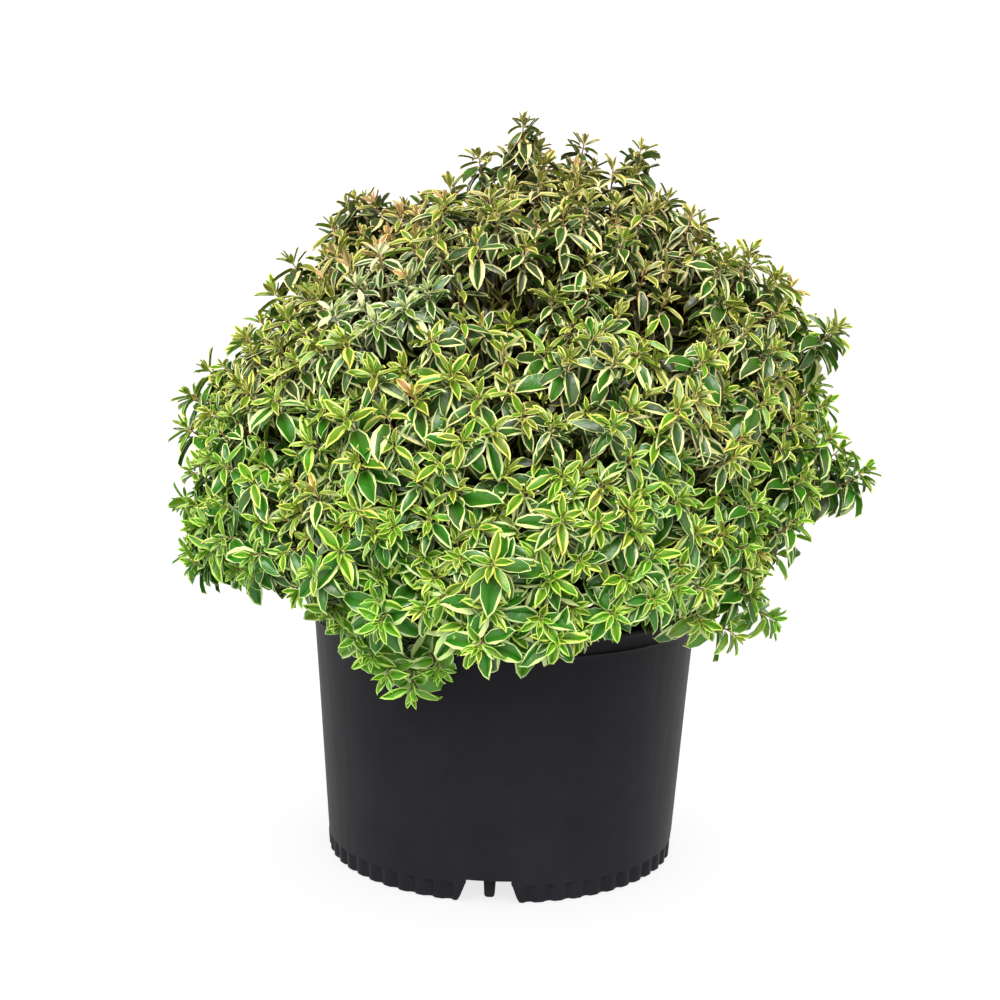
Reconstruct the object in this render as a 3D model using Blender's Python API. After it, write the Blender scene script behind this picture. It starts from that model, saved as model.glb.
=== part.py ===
"""Potted abelia: a rounded evergreen shrub with variegated leaves, in a squat black nursery pot.

Metres, +Z up. The pot's axis is Z, its foot stands on z = 0, and -Y is the side it is seen from.
The crown is laid out around one point, the fork, just above the potting mix. Every mass of foliage
owns the cone of directions that lie nearest its own, so no two masses can meet.
"""

import math
import random

import bmesh
import bpy
from mathutils import Matrix, Vector

# The pot, outside sizes.
POT_HEIGHT = 0.190
BASE_RADIUS = 0.1256
WALL_TOP_RADIUS = 0.1378
RIM_BAND_HEIGHT = 0.014
RIM_BAND_STEP = 0.0022
LIP_ROUND = 0.002
RIM_RADIUS = WALL_TOP_RADIUS + RIM_BAND_STEP + LIP_ROUND / 2
WALL = 0.0018

# Its foot: shallow flutes all round, four drain notches, a small leg behind each notch and a
# drain hole in the raised floor behind each leg.
FLUTE_COUNT = 32
POT_COLUMNS = 2 * FLUTE_COUNT
FLUTE_HEIGHT = 0.013
FLUTE_DEPTH = 0.0022
FLOOR_UNDERSIDE = 0.0128
FLOOR_THICKNESS = 0.002
NOTCH_COUNT = 4
NOTCH_TURN = math.radians(-93.5)
NOTCH_HEIGHT = 0.0118
NOTCH_WIDTH_BELOW = 0.040
NOTCH_WIDTH_ABOVE = 0.037
NOTCH_DEEP = 0.012
CUTTER_PAST = 0.010
LEG_SETBACK = 0.010
LEG_WIDTH = 0.008
DRAIN_RADIUS = 0.008
DRAIN_SETBACK = 0.024
DRAIN_SIDES = 12

# The potting mix and the short stem that stands on it.
CLEARANCE = 0.0003
SOIL_TOP = 0.172
SOIL_EDGE_DROP = 0.004
SOIL_FLAT_SHARE = 0.6
STEM_HEAD_RADIUS = 0.015
STEM_WAIST_RADIUS = 0.0105
STEM_FOOT_RADIUS = 0.020
STEM_WAIST_HEIGHT = 0.181
STEM_SIDES = 12
STEM_HEAD_RINGS = (-40, -15, 10, 35, 60)
FORK = Vector((0.0, 0.0, 0.203))

# The crown: how far its leaf tips stand from the fork, and where its hanging edge is.
REACH_SIDE = 0.248
REACH_TOP = 0.318
REACH_SLACK = 0.004
LOWEST_ELEVATION = math.radians(-8)
HEM_HEIGHT = 0.178
HEM_LIFT = 0.016
HEM_LIFT_TOWARDS = math.radians(-165)
POT_CLEARANCE = 0.002

# Where that round swells or falls in: azimuth and elevation in degrees, and by how much.
SWELLS = (
    (0, 42, 0.020),
    (-16, -6, -0.046),
    (180, 57, -0.018),
    (180, 26, 0.008),
)
SWELL_WIDTH = math.radians(20)

# Rings of masses: name, how many, elevation in degrees, turn of the first one in degrees.
RINGS = (
    ("top", 1, 90, 0),
    ("upper", 5, 59, -8),
    ("middle", 7, 33, 12),
    ("low", 9, 6, -5),
)
RING_WANDER = math.radians(3)

# Shoots that stand out of that round or hang below its hem: azimuth and elevation in degrees,
# reach in metres.
LEADERS = (
    (0, 89.0, 0.325),
    (25, 80.0, 0.313),
    (-5, 74.0, 0.321),
    (180, 67.5, 0.296),
    (-4, 39.0, 0.302),
    (-14, 20.0, 0.282),
    (180, 29.0, 0.268),
    (172, 10.0, 0.252),
    (88, 12.0, 0.253),
    (-92, 14.0, 0.253),
    (-113, -16.0, 0.182),
    (-84, -9.0, 0.180),
)

# Boughs, twigs and leaves. A core's place and size are shares of the crown's reach there.
BOUGH_END = 0.118
BOUGH_BASE_RADIUS = 0.0030
BOUGH_TIP_RADIUS = 0.0021
BOUGH_BOW = 0.006
BOUGH_STRAIGHT = 0.07
BOUGH_SHARES = (0.0, BOUGH_STRAIGHT, 0.5, 1.0 - BOUGH_STRAIGHT, 1.0)
CORE_PLACE = 0.69
CORE_ACROSS = 0.21
CORE_DEEP = 0.12
CORE_MARGIN = 0.004
CORE_ROUGHNESS = 0.12
CORE_SHRINK = 0.92
SHOOT_COUNT = 134
LEADER_ROOM = math.radians(7)
LEADER_SPLAY = math.radians(20)
LEADER_STEP = 0.020
TWIG_ROOT = 0.011
TWIG_BASE_RADIUS = 0.0026
TWIG_TIP_RADIUS = 0.0018
LEAVES_PER_WHORL = 3
LEAF_STEP = 0.0024
LEAF_LENGTH = 0.055
LEAF_WIDTH = 0.028
LEAF_THICKNESS = 0.0014
LEAF_FOLD = 0.0007
LEAF_BROADEST = 0.48
LEAF_SPLAY = math.radians(56)
LEAF_FALL = 0.10
LEAF_LEAN = 0.15
SPLAY_TRIES = (1.0, 1.3, 0.75, 0.5)
WHORL_TURNS = 6
GOLDEN_ANGLE = math.pi * (3 - math.sqrt(5))
SEED = 11


def clear_scene():
    for obj in list(bpy.data.objects):
        bpy.data.objects.remove(obj)


def material(name, colour, roughness):
    """A Principled material in one colour, given as linear red, green and blue."""
    made = bpy.data.materials.new(name)
    made.use_nodes = True
    shader = made.node_tree.nodes["Principled BSDF"]
    shader.inputs["Base Color"].default_value = (*colour, 1.0)
    shader.inputs["Roughness"].default_value = roughness
    made.diffuse_color = (*colour, 1.0)
    return made


def object_from(name, shape, made_of=None):
    """Turns a bmesh into a named object in the scene, with its faces pointing out."""
    bmesh.ops.recalc_face_normals(shape, faces=shape.faces)
    mesh = bpy.data.meshes.new(name)
    shape.to_mesh(mesh)
    shape.free()
    obj = bpy.data.objects.new(name, mesh)
    bpy.context.scene.collection.objects.link(obj)
    if made_of:
        mesh.materials.append(made_of)
    return obj


def on_circle(radius, angle, height):
    return Vector((radius * math.cos(angle), radius * math.sin(angle), height))


def ring_of_points(shape, radius, height, columns, flute=0.0):
    """A closed ring of vertices. Every other one is set in where the ring is fluted."""
    ring = []
    for column in range(columns):
        inset = flute if column % 2 == 0 else 0.0
        angle = math.tau * column / columns
        ring.append(shape.verts.new(on_circle(radius - inset, angle, height)))
    return ring


def bridge(shape, first, second):
    """Joins two rings of equal count with quads."""
    count = len(first)
    for i in range(count):
        after = (i + 1) % count
        shape.faces.new((first[i], first[after], second[after], second[i]))


def wall_radius(height):
    """The radius of the wall's outer face, which widens evenly from the foot up."""
    share = height / (POT_HEIGHT - RIM_BAND_HEIGHT)
    return BASE_RADIUS + (WALL_TOP_RADIUS - BASE_RADIUS) * share


def pot_shell(made_of):
    """The pot's wall, rolled rim band, raised floor and fluted foot, as one closed shell."""
    shape = bmesh.new()
    band_foot = POT_HEIGHT - RIM_BAND_HEIGHT
    floor_top = FLOOR_UNDERSIDE + FLOOR_THICKNESS
    profile = (
        (wall_radius(FLOOR_UNDERSIDE) - WALL, FLOOR_UNDERSIDE, 0.0),
        (BASE_RADIUS - WALL, 0.0, FLUTE_DEPTH),
        (BASE_RADIUS, 0.0, FLUTE_DEPTH),
        (wall_radius(FLUTE_HEIGHT), FLUTE_HEIGHT, 0.0),
        (WALL_TOP_RADIUS, band_foot, 0.0),
        (RIM_RADIUS - LIP_ROUND / 2, band_foot + RIM_BAND_STEP / 2, 0.0),
        (RIM_RADIUS, POT_HEIGHT - LIP_ROUND, 0.0),
        (RIM_RADIUS - LIP_ROUND, POT_HEIGHT, 0.0),
        (wall_radius(POT_HEIGHT - LIP_ROUND) - WALL, POT_HEIGHT - LIP_ROUND, 0.0),
        (wall_radius(floor_top) - WALL, floor_top, 0.0),
    )
    rings = [ring_of_points(shape, r, z, POT_COLUMNS, flute) for r, z, flute in profile]
    for first, second in zip(rings, rings[1:]):
        bridge(shape, first, second)
    shape.faces.new(rings[0])
    shape.faces.new(rings[-1])
    return object_from("pot", shape, made_of)


def prism(name, outline, low, high, turn):
    """A solid between two heights, from a near to a far distance, with its own half width at each
    height. It is turned about the pot's axis."""
    shape = bmesh.new()
    near, far, half_below, half_above = outline
    corners = []
    for height, half in ((low, half_below), (high, half_above)):
        flat = ((near, -half), (far, -half), (far, half), (near, half))
        corners.append([shape.verts.new((x, y, height)) for x, y in flat])
    bridge(shape, corners[0], corners[1])
    shape.faces.new(corners[0])
    shape.faces.new(corners[1])
    obj = object_from(name, shape)
    obj.data.transform(Matrix.Rotation(turn, 4, "Z"))
    return obj


def as_tool(objects, name):
    """Puts helper objects in a collection of their own, for one Boolean."""
    tools = bpy.data.collections.new(name)
    bpy.context.scene.collection.children.link(tools)
    for obj in objects:
        bpy.context.scene.collection.objects.unlink(obj)
        tools.objects.link(obj)
    return tools


def apply_boolean(obj, tools, operation):
    """Runs one Boolean of obj against a collection, keeps its result, and removes the tools."""
    boolean = obj.modifiers.new(operation.lower(), "BOOLEAN")
    boolean.operation = operation
    boolean.operand_type = "COLLECTION"
    boolean.collection = tools
    graph = bpy.context.evaluated_depsgraph_get()
    result = bpy.data.meshes.new_from_object(obj.evaluated_get(graph))
    obj.modifiers.remove(boolean)
    obj.data = result
    for helper in list(tools.objects):
        bpy.data.objects.remove(helper)
    bpy.data.collections.remove(tools)


def notch_and_drain(turn):
    """The cutters for one place at the foot: the notch in the skirt and the hole in the floor."""
    near = BASE_RADIUS - NOTCH_DEEP
    far = BASE_RADIUS + CUTTER_PAST
    outline = (near, far, NOTCH_WIDTH_BELOW / 2, NOTCH_WIDTH_ABOVE / 2)
    notch = prism("notch", outline, -CUTTER_PAST, NOTCH_HEIGHT, turn)
    hole = bmesh.new()
    place = on_circle(BASE_RADIUS - DRAIN_SETBACK, turn, FLOOR_UNDERSIDE)
    bmesh.ops.create_cone(
        hole,
        cap_ends=True,
        segments=DRAIN_SIDES,
        radius1=DRAIN_RADIUS,
        radius2=DRAIN_RADIUS,
        depth=4 * FLOOR_THICKNESS,
        matrix=Matrix.Translation(place),
    )
    return [notch, object_from("drain", hole)]


def leg(turn):
    """The little leg that carries the floor behind a notch."""
    near = BASE_RADIUS - LEG_SETBACK - LEG_WIDTH
    outline = (near, near + LEG_WIDTH, LEG_WIDTH / 3, LEG_WIDTH / 2)
    return prism("leg", outline, 0.0, FLOOR_UNDERSIDE + FLOOR_THICKNESS / 2, turn)


def make_pot(made_of):
    """The whole pot: the shell, with legs fused on and notches and drain holes cut out."""
    pot = pot_shell(made_of)
    turns = [NOTCH_TURN + math.tau * i / NOTCH_COUNT for i in range(NOTCH_COUNT)]
    cutters = [tool for turn in turns for tool in notch_and_drain(turn)]
    apply_boolean(pot, as_tool(cutters, "cutters"), "DIFFERENCE")
    apply_boolean(pot, as_tool([leg(turn) for turn in turns], "legs"), "UNION")
    return pot


def make_soil(made_of):
    """The potting mix: a plug that fills the pot, flat round the stem and lower at the wall."""
    shape = bmesh.new()
    floor_top = FLOOR_UNDERSIDE + FLOOR_THICKNESS
    inset = WALL + 2 * CLEARANCE
    low = floor_top + CLEARANCE
    edge = SOIL_TOP - SOIL_EDGE_DROP
    profile = (
        (wall_radius(low) - inset, low),
        (wall_radius(edge) - inset, edge),
        (SOIL_FLAT_SHARE * BASE_RADIUS, SOIL_TOP),
    )
    rings = [ring_of_points(shape, r, z, POT_COLUMNS // 2) for r, z in profile]
    for first, second in zip(rings, rings[1:]):
        bridge(shape, first, second)
    shape.faces.new(rings[0])
    shape.faces.new(rings[-1])
    return object_from("potting_mix", shape, made_of)


def make_stem(made_of):
    """The short stem inside the shrub, from a flat cut with a root flare to its round head."""
    profile = [
        (STEM_FOOT_RADIUS, SOIL_TOP + CLEARANCE),
        (STEM_WAIST_RADIUS, STEM_WAIST_HEIGHT),
    ]
    for elevation in STEM_HEAD_RINGS:
        angle = math.radians(elevation)
        height = FORK.z + STEM_HEAD_RADIUS * math.sin(angle)
        profile.append((STEM_HEAD_RADIUS * math.cos(angle), height))
    shape = bmesh.new()
    rings = [ring_of_points(shape, radius, height, STEM_SIDES) for radius, height in profile]
    for first, second in zip(rings, rings[1:]):
        bridge(shape, first, second)
    top = shape.verts.new(FORK + Vector((0, 0, STEM_HEAD_RADIUS)))
    for side in range(STEM_SIDES):
        shape.faces.new((rings[-1][side], rings[-1][(side + 1) % STEM_SIDES], top))
    shape.faces.new(rings[0])
    return object_from("stem", shape, made_of)


def towards(azimuth, elevation):
    """The direction at this azimuth and elevation, both in radians."""
    flat = math.cos(elevation)
    return Vector((flat * math.cos(azimuth), flat * math.sin(azimuth), math.sin(elevation)))


def reach(direction):
    """How far from the fork the crown's leaf tips stand in this direction."""
    rise = max(direction.z, 0.0)
    length = REACH_SIDE + (REACH_TOP - REACH_SIDE) * rise**2
    for azimuth, elevation, amount in SWELLS:
        away = direction.angle(towards(math.radians(azimuth), math.radians(elevation)))
        length += amount * math.exp(-((away / SWELL_WIDTH) ** 2))
    return length


def mass_directions():
    """Each mass's name and the direction it lies in, ring by ring."""
    chance = random.Random(SEED)
    found = {}
    for name, count, elevation, turn in RINGS:
        for i in range(count):
            wander = RING_WANDER if count > 1 else 0.0
            azimuth = math.radians(turn) + math.tau * i / count + chance.uniform(-wander, wander)
            rise = math.radians(elevation) + chance.uniform(-wander, wander)
            found[f"{name}_{i + 1}" if count > 1 else name] = towards(azimuth, rise)
    return found


def hem(azimuth):
    """How low the crown's leaves hang at this azimuth."""
    return HEM_HEIGHT + HEM_LIFT * max(0.0, math.cos(azimuth - HEM_LIFT_TOWARDS))


class Shoot:
    """A shoot: the direction and place of its tip, and how far a leader passes the crown's round."""

    def __init__(self, direction, length, leads):
        self.direction = direction
        self.tip = FORK + direction * length
        self.leads = leads
        self.beyond = max(0.0, length - reach(direction)) if leads else 0.0


def shoots():
    """The leaders, and between them shoots spread evenly over the crown."""
    found = []
    for azimuth, elevation, length in LEADERS:
        direction = towards(math.radians(azimuth), math.radians(elevation))
        found.append(Shoot(direction, length, True))
    leaders = list(found)
    lowest = math.sin(LOWEST_ELEVATION)
    for i in range(SHOOT_COUNT):
        height = 1 - (i + 0.5) / SHOOT_COUNT * (1 - lowest)
        direction = towards(i * GOLDEN_ANGLE, math.asin(height))
        if all(direction.angle(leader.direction) > LEADER_ROOM for leader in leaders):
            found.append(Shoot(direction, reach(direction), False))
    return found


class Space:
    """The room that one mass keeps to: its own cone from the fork, beyond the bough, off the pot."""

    def __init__(self, direction, others):
        self.direction = direction
        self.sides = [(direction - other).normalized() for other in others]
        flat = Vector((direction.x, direction.y, 0))
        self.outward = flat.normalized() if flat.length > CLEARANCE else Vector((0, 0, 1))

    def holds(self, point, shoot=None, room=CLEARANCE):
        """Whether a point of a leaf or twig lies in the space. A leader may pass round and hem."""
        out = point - FORK
        if out.dot(self.direction) < BOUGH_END + CLEARANCE:
            return False
        if any(out.dot(side) < room for side in self.sides):
            return False
        beyond = shoot.beyond if shoot else 0.0
        if out.length > reach(out.normalized()) + REACH_SLACK + beyond:
            return False
        if math.hypot(point.x, point.y) < RIM_RADIUS + POT_CLEARANCE:
            return point.z > POT_HEIGHT + POT_CLEARANCE
        lowest = hem(math.atan2(point.y, point.x))
        if shoot and shoot.leads:
            lowest = min(lowest, shoot.tip.z)
        return point.z > lowest

    def holds_all(self, points, shoot):
        """Tests the points and, as a leaf could bridge the rim, the middles between each two."""
        middles = [(a + b) / 2 for i, a in enumerate(points) for b in points[:i]]
        return all(self.holds(point, shoot) for point in [*points, *middles])

    def holds_core(self, point):
        """Whether a point of the core lies in the space, and above a slope that clears the rim."""
        slope = (self.outward + Vector((0, 0, 1))).normalized()
        rim = self.outward * RIM_RADIUS + Vector((0, 0, POT_HEIGHT))
        return self.holds(point) and (point - rim).dot(slope) > POT_CLEARANCE


def frame_along(axis, turn):
    """A rotation whose Z is axis, turned about it."""
    return axis.to_track_quat("Z", "Y").to_matrix() @ Matrix.Rotation(turn, 3, "Z")


def leaf_points(root, along, face):
    """The six corners of a thin leaf: its root, tip, two edges, and the ridges on both faces."""
    across = along.cross(face).normalized()
    face = across.cross(along).normalized()
    broad = root + along * (LEAF_BROADEST * LEAF_LENGTH)
    return [
        root,
        root + along * LEAF_LENGTH - face * (LEAF_FALL * LEAF_LENGTH),
        broad + across * (LEAF_WIDTH / 2),
        broad - across * (LEAF_WIDTH / 2),
        broad + face * (LEAF_FOLD + LEAF_THICKNESS),
        broad + face * LEAF_FOLD,
    ]


def leaf_object(points):
    """A leaf as a closed solid of eight triangles."""
    shape = bmesh.new()
    root, tip, left, right, upper, under = [shape.verts.new(point) for point in points]
    for side, other in ((left, upper), (upper, right), (right, under), (under, left)):
        shape.faces.new((root, side, other))
        shape.faces.new((tip, other, side))
    return object_from("leaf", shape)


def rod_object(start, end, start_radius, end_radius, sides):
    """A straight tapering rod, as a twig or a mass's own stem."""
    along = end - start
    place = Matrix.Translation((start + end) / 2) @ frame_along(along.normalized(), 0).to_4x4()
    shape = bmesh.new()
    bmesh.ops.create_cone(
        shape,
        cap_ends=True,
        segments=sides,
        radius1=start_radius,
        radius2=end_radius,
        depth=along.length,
        matrix=place,
    )
    return object_from("rod", shape)


def core_object(name, centre, space, chance, made_of):
    """The dense inside of a mass: a rough flattened ball, drawn in where its space is narrow."""
    shape = bmesh.new()
    bmesh.ops.create_icosphere(shape, subdivisions=2, radius=1.0)
    turned = frame_along(space.direction, chance.uniform(0, math.tau))
    for vert in shape.verts:
        swell = 1 + chance.uniform(-CORE_ROUGHNESS, CORE_ROUGHNESS)
        size = Vector((CORE_ACROSS, CORE_ACROSS, CORE_DEEP)) * reach(space.direction) * swell
        offset = turned @ Vector([a * b for a, b in zip(vert.co, size)])
        while not space.holds_core(centre + offset + offset.normalized() * CORE_MARGIN):
            offset *= CORE_SHRINK
        vert.co = centre + offset
    return object_from(name, shape, made_of)


def fitting_leaf(root, around, splay, space, shoot):
    """A leaf from this root, drawn to or from its twig until it fits, or none."""
    for share in SPLAY_TRIES:
        angle = splay * share
        along = around @ Vector((math.sin(angle), 0, math.cos(angle)))
        face = around @ Vector((-math.cos(angle), 0, math.sin(angle)))
        points = leaf_points(root, along, face)
        if space.holds_all(points[1:], shoot):
            return points
    return None


def whorl(top, axis, splay, space, shoot, chance):
    """The leaves of one whorl, at whichever of a few turns fits the most of them.

    Their roots lie one above another on the twig's own axis, so they are sunk in it."""
    best = []
    for _ in range(WHORL_TURNS):
        turned = frame_along(axis, chance.uniform(0, math.tau))
        fitting = []
        for i in range(LEAVES_PER_WHORL):
            around = turned @ Matrix.Rotation(math.tau * i / LEAVES_PER_WHORL, 3, "Z")
            root = top - axis * LEAF_STEP * (i + 1)
            lean = chance.uniform(-LEAF_LEAN, LEAF_LEAN)
            points = fitting_leaf(root, around, splay + lean, space, shoot)
            if points:
                fitting.append(points)
        if len(fitting) > len(best):
            best = fitting
    return best


def make_mass(name, space, ends, made_of):
    """One mass: its stem and core, the twigs that fan out of the core, and their leaves, fused."""
    chance = random.Random(f"{SEED} {name}")
    direction = space.direction
    centre = FORK + direction * (CORE_PLACE * reach(direction))
    core = core_object(name, centre, space, chance, made_of)
    stem_foot = FORK + direction * (BOUGH_END + CLEARANCE)
    parts = [rod_object(stem_foot, centre, BOUGH_TIP_RADIUS, BOUGH_TIP_RADIUS, 5)]
    for shoot in ends:
        axis = (shoot.tip - centre).normalized()
        splay = LEADER_SPLAY if shoot.leads else LEAF_SPLAY
        twig_end = shoot.tip - axis * (math.cos(splay) * LEAF_LENGTH)
        if not space.holds(twig_end, shoot, TWIG_BASE_RADIUS):
            continue
        leaves = whorl(twig_end, axis, splay, space, shoot, chance)
        if shoot.leads:
            below = twig_end - axis * LEADER_STEP
            leaves += whorl(below, axis, LEAF_SPLAY, space, shoot, chance)
        if leaves:
            root = centre + (twig_end - centre).normalized() * TWIG_ROOT
            parts.append(rod_object(root, twig_end, TWIG_BASE_RADIUS, TWIG_TIP_RADIUS, 3))
            parts.extend(leaf_object(points) for points in leaves)
    apply_boolean(core, as_tool(parts, name + "_parts"), "UNION")
    keep_outer_shell(core)


def shells_of(shape):
    """The mesh's separate closed shells, each as a list of faces."""
    left = set(shape.faces)
    while left:
        stack = [left.pop()]
        shell = list(stack)
        while stack:
            near = {face for edge in stack.pop().edges for face in edge.link_faces} & left
            left -= near
            stack.extend(near)
            shell.extend(near)
        yield shell


def keep_outer_shell(obj):
    """Drops loose scraps and sealed hollows that the fusing left, so one solid body remains."""
    shape = bmesh.new()
    shape.from_mesh(obj.data)
    bmesh.ops.triangulate(shape, faces=shape.faces)
    shells = sorted(shells_of(shape), key=len)
    spare = [face for shell in shells[:-1] for face in shell]
    bmesh.ops.delete(shape, geom=spare, context="FACES")
    shape.to_mesh(obj.data)
    shape.free()


def make_bough(name, direction, made_of):
    """One tapering limb from the stem's head to its mass, straight at both ends with a slight bow."""
    chance = random.Random(f"{SEED} bough {name}")
    start = STEM_HEAD_RADIUS + CLEARANCE
    sideways = frame_along(direction, chance.uniform(0, math.tau)) @ Vector((1, 0, 0))
    curve = bpy.data.curves.new("bough_" + name, "CURVE")
    curve.dimensions = "3D"
    curve.bevel_depth = BOUGH_BASE_RADIUS
    curve.bevel_resolution = 1
    curve.use_fill_caps = True
    spline = curve.splines.new("POLY")
    spline.points.add(len(BOUGH_SHARES) - 1)
    for point, share in zip(spline.points, BOUGH_SHARES):
        along = (share - BOUGH_STRAIGHT) / (1 - 2 * BOUGH_STRAIGHT)
        bow = BOUGH_BOW * math.sin(math.pi * min(max(along, 0.0), 1.0))
        place = FORK + direction * (start + (BOUGH_END - start) * share) + sideways * bow
        point.co = (*place, 1.0)
        point.radius = 1 + (BOUGH_TIP_RADIUS / BOUGH_BASE_RADIUS - 1) * share
    curve.materials.append(made_of)
    bough = bpy.data.objects.new("bough_" + name, curve)
    bpy.context.scene.collection.objects.link(bough)
    return bough


def main():
    clear_scene()
    plastic = material("black_plastic", (0.021, 0.021, 0.025), 0.38)
    mix = material("bark_potting_mix", (0.030, 0.020, 0.013), 0.95)
    bark = material("abelia_bark", (0.16, 0.075, 0.040), 0.80)
    greens = {
        "top": material("variegated_leaf_top", (0.25, 0.27, 0.080), 0.50),
        "upper": material("variegated_leaf_upper", (0.24, 0.28, 0.080), 0.50),
        "middle": material("variegated_leaf_middle", (0.19, 0.28, 0.065), 0.50),
        "low": material("variegated_leaf_low", (0.11, 0.28, 0.035), 0.50),
    }
    make_pot(plastic)
    make_soil(mix)
    make_stem(bark)
    directions = mass_directions()
    ends = {name: [] for name in directions}
    for shoot in shoots():
        nearest = max(directions, key=lambda name: directions[name].dot(shoot.direction))
        ends[nearest].append(shoot)
    for name, direction in directions.items():
        others = [other for key, other in directions.items() if key != name]
        make_bough(name, direction, bark)
        ring = name.split("_")[0]
        make_mass("foliage_" + name, Space(direction, others), ends[name], greens[ring])


main()
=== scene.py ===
# %% [markdown]
# # A potted abelia
#
# The subject is a rounded variegated abelia in a black nursery pot. The plant's solids are already made, and
# they say where the pot, the stem, the boughs and each mass of foliage are. Here each of them gets its real
# surface: a moulded pot, loose bark mix, bark with relief, and about twenty-eight thousand small leaves on
# twigs that grow on from the boughs.
#
# The first cell loads those solids as a fixed frame. Nothing below moves them. New pieces take their places
# and sizes from the frame's boxes.

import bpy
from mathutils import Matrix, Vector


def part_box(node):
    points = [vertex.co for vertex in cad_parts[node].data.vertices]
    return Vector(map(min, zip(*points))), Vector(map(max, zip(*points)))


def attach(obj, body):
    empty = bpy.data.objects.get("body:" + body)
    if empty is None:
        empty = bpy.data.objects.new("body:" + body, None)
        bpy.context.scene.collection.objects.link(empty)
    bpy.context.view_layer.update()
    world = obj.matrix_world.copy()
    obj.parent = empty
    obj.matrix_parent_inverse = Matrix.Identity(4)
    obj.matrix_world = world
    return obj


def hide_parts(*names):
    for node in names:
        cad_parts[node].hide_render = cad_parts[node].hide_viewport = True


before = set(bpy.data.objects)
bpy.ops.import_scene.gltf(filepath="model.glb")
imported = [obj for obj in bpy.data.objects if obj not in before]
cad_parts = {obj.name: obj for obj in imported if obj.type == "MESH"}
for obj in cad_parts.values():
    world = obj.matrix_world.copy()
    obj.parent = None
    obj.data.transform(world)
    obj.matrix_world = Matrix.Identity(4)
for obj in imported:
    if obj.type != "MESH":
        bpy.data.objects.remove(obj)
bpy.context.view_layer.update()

# %% The tools that every cell uses
import math
import random

import bmesh
import bpy
import numpy as np
from mathutils import Matrix, Vector

MM = 0.001
SEED = 11


def deselect():
    """Leaves nothing selected, because an operator acts on all that is."""
    for obj in bpy.context.selected_objects:
        obj.select_set(False)


def pick(*objects):
    """Selects these objects alone and makes the first one active."""
    deselect()
    for obj in objects:
        obj.select_set(True)
    bpy.context.view_layer.objects.active = objects[0]


def named(name):
    """Gives the new active object its name, and puts its place and scale into its mesh."""
    obj = bpy.context.object
    obj.name = obj.data.name = name
    bpy.ops.object.transform_apply()
    return obj


def choose(obj, test):
    """In edit mode, selects the vertices whose place passes the test, with the faces between them."""
    shape = bmesh.from_edit_mesh(obj.data)
    for part in (*shape.faces, *shape.edges, *shape.verts):
        part.select = False
    for vert in shape.verts:
        vert.select = test(vert.co)
    shape.select_flush(True)
    bmesh.update_edit_mesh(obj.data)


def finish_with(obj, kind, **settings):
    """Adds one modifier with its settings and applies it."""
    modifier = obj.modifiers.new(kind.title(), kind)
    for name, value in settings.items():
        setattr(modifier, name, value)
    pick(obj)
    bpy.ops.object.modifier_apply(modifier=modifier.name)


def triangles(obj):
    obj.data.calc_loop_triangles()
    return len(obj.data.loop_triangles)


# %% [markdown]
# ## Camera
#
# A studio picture of a plant is taken from a little above the rim of its pot, through a long lens, so
# that the crown isn't stretched. The place, tilt and lens here were worked out from the pot: its rim and
# foot are circles of known size, and only one camera sees both as the picture does. It leans a degree,
# as a camera on a tripod does. No shift is used, so the same camera serves when it is moved round.

# %% Camera
CAMERA_PLACE = (0.0, -1.427, 0.519)
CAMERA_TILT = 10.39
CAMERA_TURN = 0.205
CAMERA_LEAN = 1.2
LENS = 72.4
SENSOR_WIDTH = 36

looking = (
    Matrix.Rotation(math.radians(CAMERA_TURN), 3, "Z")
    @ Matrix.Rotation(math.radians(90 - CAMERA_TILT), 3, "X")
    @ Matrix.Rotation(math.radians(CAMERA_LEAN), 3, "Z")
)
bpy.ops.object.camera_add(location=CAMERA_PLACE, rotation=looking.to_euler())
camera = bpy.context.object
camera.data.lens = LENS
camera.data.sensor_width = SENSOR_WIDTH
bpy.context.scene.camera = camera
print("camera", CAMERA_PLACE, "lens", LENS)

# %% [markdown]
# ## Colours, nodes and materials
#
# A colour is written as the hex code of a paint program, and turned into the linear values that a shader
# takes. Every finish is a small tree of nodes that feeds the shader, and its patterns lie in the piece's own
# coordinates, in metres.

# %% Colours, nodes and materials
def linear(code):
    """An sRGB hex colour as the linear red, green, blue and alpha that a shader takes."""
    parts = [int(code[i : i + 2], 16) / 255 for i in (1, 3, 5)]
    return (*[c / 12.92 if c <= 0.04045 else ((c + 0.055) / 1.055) ** 2.4 for c in parts], 1.0)


def feed(made, **sources):
    """Links other nodes into a node's inputs. A node stands for its first output."""
    for name, source in sources.items():
        output = source.outputs[0] if hasattr(source, "outputs") else source
        made.id_data.links.new(output, made.inputs[name.replace("_", " ")])


def node(tree, kind, settings=None, **sources):
    """Adds a node to a tree, with its inputs or a ramp's stops set, and other nodes linked in."""
    made = tree.nodes.new("ShaderNode" + kind)
    for name, value in (settings or {}).items():
        if name == "Stops":
            for stop, (position, colour) in zip(made.color_ramp.elements, value):
                stop.position = position
                stop.color = linear(colour)
        else:
            made.inputs[name].default_value = value
    feed(made, **sources)
    return made


def material(name, colour, roughness, ior, **more):
    """A new material in one base colour, with what a finish starts from: its tree, shader and place."""
    made = bpy.data.materials.new(name)
    made.use_nodes = True
    shader = made.node_tree.nodes["Principled BSDF"]
    for socket, value in {"Base_Color": linear(colour), "Roughness": roughness, "IOR": ior, **more}.items():
        shader.inputs[socket.replace("_", " ")].default_value = value
    return made, made.node_tree, shader, node(made.node_tree, "TexCoord").outputs["Object"]


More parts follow.
